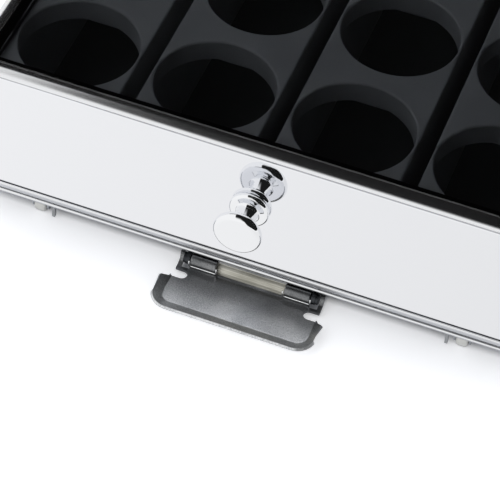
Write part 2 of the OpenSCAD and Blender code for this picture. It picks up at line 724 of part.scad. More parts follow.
// One moulded strip of sockets: a top plate on skirts, with a collar round each socket
module pod_rack(column) {
    x = (column - (columns + 1) / 2) * socket_pitch;
    socket_ys = [for (i = [0:rows - 1]) first_socket_y + i * socket_pitch];
    rack_top = rack_z + rack_h;
    color("slategrey") to_frame() translate([x, 0, 0]) difference() {
        union() {
            block(-rack_w / 2, rack_w / 2, rack_y, rack_y + rack_len, rack_top - rack_plate_t, rack_top);
            both_sides() block(rack_w / 2 - rack_skirt_t, rack_w / 2, rack_y, rack_y + rack_len,
                rack_z, rack_top);
            for (y = [rack_y, rack_y + rack_len - rack_skirt_t])
                block(-rack_w / 2, rack_w / 2, y, y + rack_skirt_t, rack_z, rack_top);
            for (i = [0:rows - 2]) {
                rib_y = (socket_ys[i] + socket_ys[i + 1]) / 2;
                block(-rack_w / 2, rack_w / 2, rib_y - rib_t / 2, rib_y + rib_t / 2,
                    rack_top - rib_h, rack_top);
            }
            intersection() {
                for (y = socket_ys)
                    rod_z(0, y, rack_top - collar_h, rack_top, socket_d / 2 + rack_skirt_t);
                block(-rack_w / 2, rack_w / 2, rack_y, rack_y + rack_len, rack_z, rack_top);
            }
        }
        for (y = socket_ys) rod_z(0, y, rack_top - collar_h - over, rack_top + over, socket_d / 2);
    }
}
module pod_rack_1() pod_rack(1);
module pod_rack_2() pod_rack(2);
module pod_rack_3() pod_rack(3);
module pod_rack_4() pod_rack(4);

module drawer_rail() difference() {
    union() {
        block(rail_x, rail_out_x, rail_y0, tray_back_y, channel_z + runner_t, rail_z + runner_t);
        block(rail_x, channel_in_x - clearance, rail_y0, tray_back_y, rail_z, rail_z + runner_t);
    }
    for (y = side_screw_ys)
        rod_x(rail_x - over, rail_out_x + over, y, rail_rivet_z, screw_r + tight_fit);
    rod_x(rail_x - over, rail_out_x + over, rear_roller_y, rear_roller_z, roller_pin_r + tight_fit);
}
module drawer_rail_right() color("lightsteelblue") to_frame() drawer_rail();
module drawer_rail_left() color("lightsteelblue") to_frame() left_side() drawer_rail();

module rail_rivets() color("silver") to_frame() both_sides() for (y = side_screw_ys) {
    rod_x(tray_w / 2 - tray_t - rivet_head_h, tray_w / 2 - tray_t, y, rail_rivet_z, rivet_head_r);
    rod_x(tray_w / 2 - tray_t, rail_out_x + seam, y, rail_rivet_z, screw_r);
}

module rear_roller_pins() color("grey") to_frame() both_sides()
    rod_x(rail_x + seam / 2, roller_x1 + seam, rear_roller_y, rear_roller_z, roller_pin_r);

module roller(y, z) difference() {
    edge = 0.4;
    translate([roller_x0, y, z]) rotate([0, 90, 0]) rotate_extrude() polygon([[0, 0],
        [roller_r - edge, 0], [roller_r, edge], [roller_r, roller_x1 - roller_x0 - edge],
        [roller_r - edge, roller_x1 - roller_x0], [0, roller_x1 - roller_x0]]);
    rod_x(roller_x0 - over, roller_x1 + over, y, z, roller_pin_r + running_fit);
}
module front_roller_right() color("white") to_frame() roller(front_roller_y, front_roller_z);
module front_roller_left() color("white") to_frame() left_side() roller(front_roller_y, front_roller_z);
module rear_roller_right() color("white") to_frame() roller(rear_roller_y, rear_roller_z);
module rear_roller_left() color("white") to_frame() left_side() roller(rear_roller_y, rear_roller_z);

// ---- Lever ----

// The dish's outline, drawn at a distance in from its top edge
module dish_plan(side_in, front_in, rear_y) {
    r = dish_r - min(side_in, front_in);
    x = lever_w / 2 - side_in;
    y = -lever_reach + front_in;
    polygon(concat([[x, rear_y], [-x, rear_y]], arc([-x + r, y + r], r, 180, 270),
        arc([x - r, y + r], r, 270, 360)));
}
module dish_solid(z0, z1, side_in, front_in, top_in) {
    hull() {
        upright(z0, 0.01) dish_plan(side_in, front_in, dish_rear_y);
        upright(z1, 0.01) dish_plan(top_in, top_in, dish_rear_y);
    }
}

module lever_plate() color("dimgrey") at_lever() {
    bend_c = [neck_back - bend_r, floor_top + bend_r];
    wall_y = neck_back + lever_t;
    under = flange_top - lever_t;
    lap = 0.5;
    profile = concat(
        [[dish_rear_y - lap, lever_z]],
        arc(bend_c, bend_r + lever_t, -90, 0),
        [[wall_y, under], [flange_y1, under], [flange_y1, bracket_z - clearance],
         [stop_tab_y, bracket_z - clearance], [stop_tab_y, flange_top]],
        arc([wall_y, under], lever_t, 90, 180),
        arc(bend_c, bend_r, 0, -90),
        [[dish_rear_y - lap, floor_top]]);
    difference() {
        union() {
            difference() {
                across(-neck_w / 2, neck_w) polygon(profile);
                both_sides() {
                    block(knuckle_out_x, wing_x, neck_cut_y, 2 * flange_y1, 0, 2 * flange_top);
                    block(knuckle_out_x, neck_w, wall_y, 2 * flange_y1, 0, 2 * flange_top);
                    block(knuckle_out_x, neck_w, neck_cut_y, 2 * flange_y1, under, 2 * flange_top);
                    upright(0, floor_top + over) {
                        x = neck_w / 2 - notch_d + notch_w / 2;
                        translate([x, -notch_y - notch_w / 2]) circle(notch_w / 2);
                        translate([x, -notch_y - notch_w]) square([neck_w, notch_w]);
                    }
                }
            }
            both_sides() across(knuckle_in_x, knuckle_w) translate(pivot) circle(knuckle_r);
            both_sides() across(lug_x, ear_t) {
                translate([front_wheel_y, axle_z]) circle(axle_lug_r);
                translate([front_wheel_y - axle_lug_r, axle_z])
                    square([2 * axle_lug_r, flange_top - lever_t / 2 - axle_z]);
            }
        }
        both_sides() rod_x(knuckle_in_x, wing_x - over, -pin_y, pin_z, pin_r + running_fit);
        rod_x(-neck_w / 2, neck_w / 2, front_wheel_y, axle_z, axle_r + tight_fit);
    }
    difference() {
        dish_solid(lever_z, floor_top + lip_h, lip_side, lip_front, 0);
        dish_solid(floor_top, floor_top + lip_h + lap, lip_side, lip_front, lever_t / 2);
        across(-lever_w, 2 * lever_w) polygon([[dish_rear_y, floor_top],
            [dish_rear_y - lip_run, floor_top + lip_h], [dish_rear_y - lip_run, 2 * flange_top],
            [neck_w, 2 * flange_top], [neck_w, floor_top]]);
    }
}

module wheel_axle() color("silver") to_frame()
    rod_x(-axle_end_x, axle_end_x, front_wheel_y, axle_z, axle_r);

module axle_clips() color("grey") to_frame() both_sides() {
    for (x = [wheel_x - wheel_w / 2 - clearance - clip_t, wheel_x + wheel_w / 2 + clearance])
        difference() {
            rod_x(x, x + clip_t, front_wheel_y, axle_z, clip_r);
            rod_x(x - over, x + over, front_wheel_y, axle_z, axle_r + tight_fit);
    }
}

module wheel(y, z) difference() {
    edge = 1.4;
    translate([wheel_x - wheel_w / 2, y, z]) rotate([0, 90, 0]) rotate_extrude() polygon(concat(
        [[0, 0]], arc([wheel_r - edge, edge], edge, -90, 0, 6),
        arc([wheel_r - edge, wheel_w - edge], edge, 0, 90, 6), [[0, wheel_w]]));
    rod_x(wheel_x - wheel_w, wheel_x + wheel_w, y, z, axle_r + running_fit);
}
module front_wheel_right() color("whitesmoke") to_frame() wheel(front_wheel_y, axle_z);
module front_wheel_left() color("whitesmoke") to_frame() left_side() wheel(front_wheel_y, axle_z);
module rear_wheel_right() color("whitesmoke") to_frame() wheel(rear_wheel_y, wheel_r);
module rear_wheel_left() color("whitesmoke") to_frame() left_side() wheel(rear_wheel_y, wheel_r);

top_frame();
glass_top();
glass_seal();
side_panel_left();
side_panel_right();
back_panel();
base_pan();
sill();
runner_left();
runner_right();
front_roller_pins();
rear_bumpers();
lever_bracket();
lever_pins();
axle_guides();
front_feet();
foot_screws();
rear_wheel_bracket_left();
rear_wheel_bracket_right();
rear_axles();
frame_screws();
base_screws();
runner_rivets();
bracket_rivets();
drawer_tray();
front_panel();
knob();
knob_screw();
panel_screws();
pod_rack_1();
pod_rack_2();
pod_rack_3();
pod_rack_4();
drawer_rail_left();
drawer_rail_right();
rail_rivets();
rear_roller_pins();
front_roller_left();
front_roller_right();
rear_roller_left();
rear_roller_right();
lever_plate();
wheel_axle();
axle_clips();
front_wheel_left();
front_wheel_right();
rear_wheel_left();
rear_wheel_right();
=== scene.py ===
# %% [markdown]
# # A rolling drawer for coffee pods
# The real object is a low chrome-plated steel body with a glass top, made to stand under a coffee maker. A
# drawer with a mirror front runs out of it on rollers, and a finger lever under the front lowers two wheels.
# The exact model is already made in CAD. Here each piece that is seen gets the soft edges, bends and finish
# that the real one has, and keeps the exact model's size and place.

# %% Load the exact model
import math

import bmesh
import bpy
from mathutils import Matrix, Vector


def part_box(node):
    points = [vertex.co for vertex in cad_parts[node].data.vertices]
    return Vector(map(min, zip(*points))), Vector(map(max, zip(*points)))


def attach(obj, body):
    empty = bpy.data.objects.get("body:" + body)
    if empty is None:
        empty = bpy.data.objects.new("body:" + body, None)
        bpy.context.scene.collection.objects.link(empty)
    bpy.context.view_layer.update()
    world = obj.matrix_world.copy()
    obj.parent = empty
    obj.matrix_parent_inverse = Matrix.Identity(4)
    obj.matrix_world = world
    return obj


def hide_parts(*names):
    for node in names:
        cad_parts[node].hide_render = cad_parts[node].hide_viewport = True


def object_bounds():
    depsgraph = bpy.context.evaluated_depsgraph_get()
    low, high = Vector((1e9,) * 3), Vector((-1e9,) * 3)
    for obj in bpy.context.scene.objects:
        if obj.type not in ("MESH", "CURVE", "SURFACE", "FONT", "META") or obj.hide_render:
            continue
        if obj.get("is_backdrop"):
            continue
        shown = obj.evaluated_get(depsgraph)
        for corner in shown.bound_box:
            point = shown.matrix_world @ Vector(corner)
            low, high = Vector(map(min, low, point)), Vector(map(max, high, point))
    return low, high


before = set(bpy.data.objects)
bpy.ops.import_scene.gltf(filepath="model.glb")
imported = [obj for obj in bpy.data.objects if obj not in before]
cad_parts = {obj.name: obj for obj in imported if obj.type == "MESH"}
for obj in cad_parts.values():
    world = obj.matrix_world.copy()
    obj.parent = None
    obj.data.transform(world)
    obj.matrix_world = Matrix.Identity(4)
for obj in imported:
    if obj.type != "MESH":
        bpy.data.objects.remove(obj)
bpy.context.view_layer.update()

# %% [markdown]
# The drawer's maker would measure everything from the face of the mirror panel, so this script does too. X
# runs across the front, Y goes back from the panel's face and Z goes up from the table, all in millimetres.
# One function turns such a point into Blender's metres, and the panel's face comes from the exact model.

# %% Measures
mm = 0.001
face_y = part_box("front_panel")[0][1] / mm


def at(x, y, z):
    return Vector((x, y + face_y, z)) * mm


body_w, body_d = ((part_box("top_frame")[1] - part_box("top_frame")[0]) / mm)[:2]
body_mid = body_d / 2
corner = 10
corner_x = body_w / 2 - corner
table_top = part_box("top_frame")[1][2] / mm
print("body %.1f wide, %.1f deep, %.2f high" % (body_w, body_d, table_top))

# %% [markdown]
# The camera looks down at the middle of the front edge from the right, with a long lens. It is set by the
# point that it looks at, its distance, how far it is turned and raised, and a slight roll. A shift isn't
# needed, and depth of field stays off, so that every other view is sharp too.

# %% Camera
turned_right = math.radians(16.914)
raised = math.radians(48.289)
rolled = math.radians(4.962)
looks_at = at(1.18, 0, 20.48)
stands_off = 884.29
back = Vector((math.sin(turned_right) * math.cos(raised), -math.cos(turned_right) * math.cos(raised),
               math.sin(raised)))
level = (-back).cross(Vector((0, 0, 1))).normalized()
over = level.cross(-back)
right = math.cos(rolled) * level + math.sin(rolled) * over
up = right.cross(-back)

lens = bpy.data.cameras.new("product_camera")
lens.sensor_width = 36
lens.lens = 170.63
lens.clip_start, lens.clip_end = 0.05, 20
camera = bpy.data.objects.new("product_camera", lens)
bpy.context.scene.collection.objects.link(camera)
camera.matrix_world = Matrix.Translation(looks_at + back * stands_off * mm) @ Matrix(
    (right, up, back)).transposed().to_4x4()
bpy.context.scene.camera = camera
bpy.context.scene.view_settings.view_transform = "Standard"
print("camera at, mm:", [round(v / mm, 1) for v in camera.matrix_world.translation])

# %% [markdown]
# ## Materials
# Every finish is a small tree of nodes. One function adds a node with its settings and links, and one turns
# the colour that a designer would write as sRGB hex into the linear values that the renderer needs. A
# pattern's scale comes from its real size in millimetres. Short functions add the nodes that come back most:
# noise, a value moved to another range, a mix of two shades, and a surface with relief.

# %% Helpers for materials


def hex_colour(code):
    values = [int(code[i:i + 2], 16) / 255 for i in (1, 3, 5)]
    return [v / 12.92 if v <= 0.04045 else ((v + 0.055) / 1.055) ** 2.4 for v in values] + [1]


def per_mm(size):
    return 1 / (size * mm)


def add(tree, kind, inputs=None, **settings):
    new = tree.nodes.new("ShaderNode" + kind)
    for name, value in settings.items():
        setattr(new, name, value)
    for socket, value in (inputs or {}).items():
        if isinstance(value, bpy.types.NodeSocket):
            tree.links.new(value, new.inputs[socket])
        else:
            new.inputs[socket].default_value = value
    return new


def maths(tree, operation, *values, kind="Math", result=0):
    return add(tree, kind, dict(enumerate(values)), operation=operation).outputs[result]


def remap(tree, value, low, high, to_low=0.0, to_high=1.0, kind="LINEAR"):
    return add(tree, "MapRange", {"Value": value, "From Min": low, "From Max": high, "To Min": to_low,
                                  "To Max": to_high}, interpolation_type=kind).outputs[0]


def noise(tree, place, size, detail, rough=0.5):
    """Noise with features size mm wide."""
    return add(tree, "TexNoise", {"Vector": place, "Scale": per_mm(size), "Detail": detail,
                                  "Roughness": rough}).outputs["Fac"]


def shades(tree, value, dark, light, low=0.0, high=1.0):
    ramp = add(tree, "ValToRGB", {"Fac": value})
    for stop, position, code in zip(ramp.color_ramp.elements, (low, high), (dark, light)):
        stop.position, stop.color = position, hex_colour(code)
    return ramp.outputs[0]


def new_finish(name):
    material = bpy.data.materials.new(name)
    material.use_nodes = True
    material.node_tree.nodes.clear()
    tree = material.node_tree
    place = add(tree, "TexCoord").outputs["Object"]
    return material, tree, place


def surface(tree, shader):
    add(tree, "OutputMaterial", {"Surface": shader.outputs[0]})


def solid(tree, colour, dull, height, strength, depth, more):
    """A surface of one colour and roughness, with relief depth mm deep and the other settings in more."""
    bump = add(tree, "Bump", {"Height": height, "Strength": strength, "Distance": depth * mm})
    surface(tree, add(tree, "BsdfPrincipled", {
        "Base Color": colour, "Roughness": dull, "Normal": bump.outputs[0], **more}))


# %% [markdown]
# **Chromium plate** lies on polished nickel and copies it, so it reads as a cool, nearly white mirror. What
# the eye still sees are faint wipe marks, which dull it in patches a few centimetres across, and the very
# slight waviness that polishing leaves. A painted gradient would fake that from one side only, so both are
# noise in the roughness and in the bump.

# %% Chromium plate
metal = {"Metallic": 1.0}


def chrome_plate(name, tint, gloss, wave, smear=0.02):
    material, tree, place = new_finish(name)
    dull = remap(tree, noise(tree, place, size=38, detail=4.0), 0.35, 0.75, gloss, gloss + smear)
    solid(tree, hex_colour(tint), dull, noise(tree, place, size=9, detail=1.0), 1.0, wave, metal)
    return material


mirror_chrome = chrome_plate("mirror_chrome_plate", "#EEEFF2", 0.025, 0.0004)
knob_chrome = chrome_plate("chrome_plate_on_turned_knob", "#F2F3F5", 0.02, 0.0002)
rim_chrome = chrome_plate("chrome_plate_on_rolled_rim", "#E9EAEC", 0.16, 0.0006)
sheet_chrome = chrome_plate("chrome_plate_on_folded_sheet", "#E2E3E6", 0.09, 0.001, 0.05)
print("chrome finishes:", mirror_chrome.name, knob_chrome.name, rim_chrome.name, sheet_chrome.name)

# %% [markdown]
# ** The lever** is bare steel. The pressed sheet was tumbled with stones, which leaves an even grain without
# a direction, about half a millimetre wide, and thicker and thinner spots of the clear film over it. Only the
# wall of the neck, which the stones don't reach, keeps the lines of the rolling mill. So one function draws
# both: noise that is round for the one finish and stretched along X for the other. It changes the colour,
# the roughness and the bump together, because all three come from the same marks in the metal. The tumbled
# steel also gets painted shade: its colour darkens smoothly from the middle of the dish towards the hinge,
# where the body shades it.

# %% Tumbled and rolled steel
# Where the painted shade towards the hinge starts, where it is darkest, and its dark grey colour.
darkens_from, darkest_at, painted_hinge_shade = face_y - 22, face_y - 8, "#1E2022"


def worked_steel(name, dark, light, rough, pitch, stretch, depth=0.01, hinge_shade=0.0):
    """Marks pitch mm wide and stretched along X. hinge_shade is how much painted shade darkens the steel at
    the hinge.
    """
    material, tree, place = new_finish(name)
    along = add(tree, "Mapping", {"Vector": place, "Scale": (1 / stretch, 1, 1)})
    marks = noise(tree, along.outputs[0], pitch, 2.5, 0.6)
    spots = noise(tree, place, size=11, detail=3.0)
    both = add(tree, "Mix", {"Factor": 0.4, "A": marks, "B": spots}).outputs[0]
    parts = add(tree, "SeparateXYZ", {"Vector": place})
    # Painted shade: the colour is mixed towards a dark grey from the middle of the dish to the hinge, where
    # the body shades it.
    clear = remap(tree, parts.outputs["Y"], darkens_from * mm, darkest_at * mm, 0.0, hinge_shade, "SMOOTHSTEP")
    colour_with_painted_shade = add(tree, "Mix", {"Factor": clear, "A": shades(tree, both, dark, light, 0.4, 0.6),
                               "B": hex_colour(painted_hinge_shade)}, data_type="RGBA")
    dull = remap(tree, both, 0.3, 0.7, rough + 0.06, rough - 0.06)
    solid(tree, colour_with_painted_shade.outputs["Result"], dull, marks, 0.6, depth, metal)
    return material


tumbled_steel = worked_steel("tumbled_steel_sheet", "#B4B7BA", "#ECEDEE", 0.3, 0.5, 1, hinge_shade=0.72)
rolled_steel = worked_steel("rolled_steel_sheet", "#A5A398", "#D2D0C6", 0.42, 0.3, 60, 0.015)
rubbed_steel = worked_steel("rubbed_bright_steel_edge", "#D8DADC", "#F6F7F8", 0.26, 0.8, 1)
print("lever finishes:", tumbled_steel.name, rolled_steel.name, rubbed_steel.name)

# %% [markdown]
# **Zinc plate** on the hidden steel pieces is bluish and has a faint patchwork of crystals, a few
# millimetres across, which Voronoi cells draw well. Screws and rivets have it too, but brighter, and too
# small for the crystals to show, so theirs are smaller. The lever's bracket and pins are plated black.

# %% Zinc plate


def zinc_plate(name, dark, light, crystal, rough):
    material, tree, place = new_finish(name)
    crystals = add(tree, "TexVoronoi", {"Vector": place, "Scale": per_mm(crystal)})
    grey = add(tree, "RGBToBW", {"Color": crystals.outputs["Color"]}).outputs[0]
    dull = remap(tree, grey, 0.0, 1.0, rough - 0.05, rough + 0.07)
    grain = noise(tree, place, size=0.4, detail=2.0)
    solid(tree, shades(tree, grey, dark, light), dull, grain, 0.25, 0.02, metal)
    return material


zinc_sheet = zinc_plate("zinc_plated_sheet", "#A9ADB2", "#C3C6CA", 5, 0.3)
zinc_bright = zinc_plate("bright_zinc_fastener", "#C0C3C7", "#D9DBDE", 1.5, 0.2)
zinc_dark = zinc_plate("black_zinc_bracket", "#2E3033", "#45474A", 3, 0.34)
print("zinc finishes:", zinc_sheet.name, zinc_bright.name, zinc_dark.name)

# %% [markdown]
# **Painted sheet, moulded plastic and rubber** are all a base colour under a fine grain. Powder coat has an
# orange-peel surface with bumps about a millimetre wide, a moulded rack has a spark-eroded grain near
# 0.4 mm, and rubber is matt and slightly dusty. One function makes them, from the grain's size and depth,
# and mixes two close shades over some centimetres so that no face is one flat colour.

# %% Painted, moulded and rubber finishes


def grained(name, dark, light, grain, depth, rough, specular=0.5):
    material, tree, place = new_finish(name)
    colour = shades(tree, noise(tree, place, size=22, detail=5.0), dark, light, 0.3, 0.7)
    pits = noise(tree, place, grain, 2.0)
    dull = remap(tree, pits, 0.3, 0.7, rough - 0.05, rough + 0.08)
    solid(tree, colour, dull, pits, 0.6, depth, {"Specular IOR Level": specular, "IOR": 1.5})
    return material


silver_paint = grained("satin_silver_paint", "#9FA1A4", "#A9ABAD", 0.8, 0.03, 0.42)
powder_coat = grained("black_powder_coat", "#17181A", "#202124", 1.1, 0.06, 0.4)
rack_plastic = grained("grained_abs_rack", "#7C7D80", "#86878A", 0.45, 0.03, 0.5)
wheel_nylon = grained("moulded_nylon", "#DCDCD8", "#E8E8E4", 0.6, 0.01, 0.32)
foot_rubber = grained("moulded_rubber", "#161617", "#232324", 0.7, 0.05, 0.75, 0.3)
seal_foam = grained("closed_cell_seal", "#121213", "#1C1C1D", 0.4, 0.08, 0.85, 0.2)
print("grained finishes:", silver_paint.name, powder_coat.name, rack_plastic.name, wheel_nylon.name,
      foot_rubber.name, seal_foam.name)

# %% [markdown]
# **Float glass** is clear from above and a cool grey at its polished edge, where one looks through a long
# way of it. A faint film of wiping marks in the roughness keeps it from looking like air.

# %% Float glass
float_glass, tree, place = new_finish("tempered_float_glass")
haze = remap(tree, noise(tree, place, size=55, detail=5.0), 0.4, 0.8, 0.0, 0.015)
surface(tree, add(tree, "BsdfPrincipled", {
    "Base Color": hex_colour("#E6E9EC"), "Roughness": haze, "IOR": 1.52, "Transmission Weight": 1.0}))
print("glass finish:", float_glass.name)

# %% [markdown]
# ## Tools for modelling
# Pieces are made as by hand: a primitive at its size and place, shaped in edit mode. Blender's operators act
# on what is selected, and the loaded model starts out selected, so the first helper clears that. Another
# picks vertices, edges or faces by a rule about where they are. Others draw a line or an arc, turn an open
# skin's faces up, give it the thickness of its wall, or punch a hole with a tool. `done` smooths a finished
# piece, gives it its finish, hides the exact node that it stands for and lets it ride on the body that moves
# it.

# %% Helpers for modelling


def select_only(piece=None):
    if bpy.context.mode != "OBJECT":
        bpy.ops.object.mode_set(mode="OBJECT")
    bpy.ops.object.select_all(action="DESELECT")
    if piece:
        piece.select_set(True)
        bpy.context.view_layer.objects.active = piece


def edit(piece):
    select_only(piece)
    bpy.ops.object.mode_set(mode="EDIT")


def pick(kind, rule):
    bpy.ops.mesh.select_mode(type=kind)
    bpy.ops.mesh.select_all(action="DESELECT")
    mesh = bmesh.from_edit_mesh(bpy.context.object.data)
    count = 0
    for part in {"VERT": mesh.verts, "EDGE": mesh.edges, "FACE": mesh.faces}[kind]:
        points = [part.co] if kind == "VERT" else [v.co for v in part.verts]
        middle = sum(points, Vector()) / len(points) / mm
        if rule(middle.x, middle.y - face_y, middle.z, part):
            part.select_set(True)
            count += 1
    mesh.select_flush_mode()
    bmesh.update_edit_mesh(bpy.context.object.data)
    return count


def near(a, b, reach=0.01):
    return abs(a - b) < reach


def extrude(x=0, y=0, z=0):
    bpy.ops.mesh.extrude_region_move(TRANSFORM_OT_translate={"value": (x * mm, y * mm, z * mm)})


def shift(y=0, z=0):
    bpy.ops.transform.translate(value=(0, y * mm, z * mm))


def spin(steps, angle, centre, axis):
    """Turns the right-handed way round the axis. The operator itself turns the other way."""
    bpy.ops.mesh.spin(steps=steps, angle=-angle, center=centre, axis=axis)


def select_all():
    bpy.ops.mesh.select_all(action="SELECT")


def inset(width, depth=0):
    bpy.ops.mesh.inset(thickness=width * mm, depth=depth * mm)


def bevel(width, steps, kind="EDGES"):
    bpy.ops.mesh.bevel(offset=width * mm, segments=steps, affect=kind)


def clean():
    select_all()
    bpy.ops.mesh.remove_doubles(threshold=0.002 * mm)
    bpy.ops.mesh.normals_make_consistent(inside=False)


def face_up(z):
    """Turns all faces over if the flat ones at height z look down."""
    faces = bmesh.from_edit_mesh(bpy.context.object.data).faces
    if sum(f.normal.z for f in faces if near(f.calc_center_median().z / mm, z)) < 0:
        select_all()
        bpy.ops.mesh.flip_normals()


def open_edges():
    return pick("EDGE", lambda x, y, z, e: not e.is_manifold)


def modify(piece, kind, **settings):
    select_only(piece)
    modifier = piece.modifiers.new(kind.lower(), kind)
    for name, value in settings.items():
        setattr(modifier, name, value)
    bpy.ops.object.modifier_apply(modifier=modifier.name)


def thicken(piece, thickness):
    modify(piece, "SOLIDIFY", thickness=thickness * mm, offset=-1)


def punch(piece, tool):
    modify(piece, "BOOLEAN", operation="DIFFERENCE", object=tool, solver="EXACT")
    bpy.data.objects.remove(tool)


def block(name, x0, x1, y0, y1, z0, z1):
    select_only()
    low, high = at(x0, y0, z0), at(x1, y1, z1)
    bpy.ops.mesh.primitive_cube_add(size=1, location=(low + high) / 2, scale=high - low)
    bpy.ops.object.transform_apply(location=True, rotation=True, scale=True)
    bpy.context.object.name = name
    return bpy.context.object


def sheet(name, x0, x1, y0, y1, z):
    select_only()
    low, high = at(x0, y0, z), at(x1, y1, z)
    bpy.ops.mesh.primitive_plane_add(size=1, location=(low + high) / 2)
    bpy.context.object.scale = (high.x - low.x, high.y - low.y, 1)
    bpy.ops.object.transform_apply(location=True, rotation=True, scale=True)
    bpy.context.object.name = name
    return bpy.context.object


def line(name, points):
    """A string of edges from point to point, which is left selected in edit mode at its last point."""
    select_only()
    bpy.ops.mesh.primitive_plane_add(size=mm, location=at(*points[0]))
    bpy.ops.object.transform_apply(location=True, rotation=True, scale=True)
    bpy.context.object.name = name
    edit(bpy.context.object)
    bpy.ops.mesh.select_mode(type="VERT")
    select_all()
    bpy.ops.mesh.merge(type="CENTER")
    for a, b in zip(points, points[1:]):
        extrude(*(Vector(b) - Vector(a)))
    return bpy.context.object


def arc(cx, cy, r, a0, a1, steps=8):
    angles = [math.radians(a0 + (a1 - a0) * i / steps) for i in range(steps + 1)]
    return [(cx + r * math.cos(a), cy + r * math.sin(a)) for a in angles]


def join(piece, *others):
    select_only(piece)
    for other in others:
        other.select_set(True)
    bpy.ops.object.join()
    return piece


def soften(piece, width, steps=2, angle=40):
    modify(piece, "BEVEL", width=width * mm, segments=steps, limit_method="ANGLE",
           angle_limit=math.radians(angle), use_clamp_overlap=True)


def done(piece, finish, slot, body, *nodes, angle=32):
    select_only(piece)
    piece.data.materials.clear()
    piece.data.materials.append(finish)
    piece.data.name = piece.name
    bpy.ops.object.shade_smooth_by_angle(angle=math.radians(angle))
    modify(piece, "WEIGHTED_NORMAL", keep_sharp=True)
    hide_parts(*nodes)
    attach(piece, body)
    print(piece.name, "faces", len(piece.data.polygons), "mm",
          [round(v / mm, 1) for v in piece.dimensions])


def copy_of(piece, name, x=0, y=0, z=0):
    twin = bpy.data.objects.new(name, piece.data.copy())
    bpy.context.scene.collection.objects.link(twin)
    twin.data.transform(Matrix.Translation(Vector((x, y, z)) * mm))
    return twin


# %% [markdown]
# ## The rim of the top
# The rim is rolled from one strip: a rounded front, a narrow flat land, then down to a ledge that carries
# the glass. It could be a profile swept along a path. Insetting is closer to how the strip is formed: the
# outline is one flat face with round corners, and each inset of it makes the next ring, with a little more
# height, until the nose is round. The underside is made in the same way and joined to it by a bridge.

# %% Rim
rim_low, rim_high, rim_w, land = table_top - 2.2, table_top, 5.4, 1.2
ledge_low, ledge_high, ledge_in = table_top - 4.6, table_top - 3.6, 9.3
edge_h, under_in = 0.05, rim_w - 1


def rounded_plate(name, margin, z, radius, steps=12):
    piece = sheet(name, margin - body_w / 2, body_w / 2 - margin, margin, body_d - margin, z)
    edit(piece)
    bpy.ops.mesh.select_mode(type="VERT")
    select_all()
    bevel(radius, steps, "VERTICES")
    return piece


rim = rounded_plate("rolled_rim", 0, rim_low, corner)
select_all()
extrude(z=edge_h)
before = (0, rim_low + edge_h)
for across, rise in arc(0, 0, 1, 180, 90, 9)[1:]:
    after = ((rim_w - land) * (1 + across), rim_low + edge_h + (rim_high - rim_low - edge_h) * rise)
    pick("FACE", lambda x, y, z, f: len(f.verts) > 20 and z > before[1] - 0.01 and f.normal.z > 0.5)
    inset(after[0] - before[0], after[1] - before[1])
    before = after
inset(land)
extrude(z=ledge_high - rim_high)
inset(ledge_in - rim_w)
bpy.ops.mesh.delete(type="FACE")
pick("FACE", lambda x, y, z, f: len(f.verts) > 20 and near(z, rim_low))
inset(under_in)
extrude(z=ledge_low - rim_low)
inset(ledge_in - under_in)
bpy.ops.mesh.delete(type="FACE")
pick("EDGE", lambda x, y, z, e: e.is_boundary)
bpy.ops.mesh.bridge_edge_loops()
clean()
print("open edges of the rim:", open_edges())
pick("EDGE", lambda x, y, z, e: near(z, rim_high) and all(
    near(v.co.z / mm, rim_high) for v in e.verts) and any(f.normal.z < 0.1 for f in e.link_faces))
bevel(0.2, 2)

# %% [markdown]
# Eight lugs hang from the rim, where the frame's screws hold it. Each is a small block with soft edges, and
# they are joined to the rim, because on the real one they are welded to it.

# %% Lugs of the rim
screw_y, rear_screw_x = 40, corner_x - 5
lug_t, side_lug_w, rear_lug_w, lug_edge = 1.2, 12, 8, 0.25
lug_low, lug_high, side_lug_x, rear_lug_y = rim_low - 11, rim_low + 0.4, body_w / 2 - 1.2, body_d - 2.4
lug = block("lug", side_lug_x - lug_t, side_lug_x, screw_y - side_lug_w / 2, screw_y + side_lug_w / 2,
            lug_low, lug_high)
soften(lug, lug_edge)
lugs = [copy_of(lug, "lug_side", x=dx, y=dy) for dx in (0, lug_t - 2 * side_lug_x)
        for dy in (0, body_mid - screw_y, body_d - 2 * screw_y)]
rear_lug = block("lug_rear", -rear_lug_w / 2, rear_lug_w / 2, rear_lug_y - lug_t, rear_lug_y,
                 lug_low, lug_high)
soften(rear_lug, lug_edge)
lugs += [copy_of(rear_lug, "lug_back", x=s * rear_screw_x) for s in (-1, 1)]
join(rim, *lugs)
bpy.data.objects.remove(lug)
bpy.data.objects.remove(rear_lug)
done(rim, rim_chrome, "chrome_frame", "body", "top_frame")

# %% [markdown]
# ## The glass
# A pane of float glass is cut, its corners are rounded, and the arrises are ground and polished to a small
# bevel before it is tempered. So the pane is a flat outline, extruded, with its long edges bevelled.

# %% Glass pane
glass_low, glass_high = [v[2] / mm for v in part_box("glass_top")]
glass_in, polished = rim_w + 0.3, 0.45
pane = rounded_plate("glass_pane", glass_in, glass_low, corner - glass_in, 8)
select_all()
extrude(z=glass_high - glass_low)
clean()
pick("EDGE", lambda x, y, z, e: (near(z, glass_low) or near(z, glass_high)) and near(
    e.verts[0].co.z, e.verts[1].co.z, 1e-6))
bevel(polished, 3)
done(pane, float_glass, "glass", "body", "glass_top")

# %% [markdown]
# ## The mirror panel and the sill
# Both are strips that run along the front and turn round the body's corners. Their section is drawn as a
# line of points, filled, drawn out straight across the front, and each end is spun round the corner. That is
# what a press brake and a corner form do to the real strips.

# %% Strips along the front


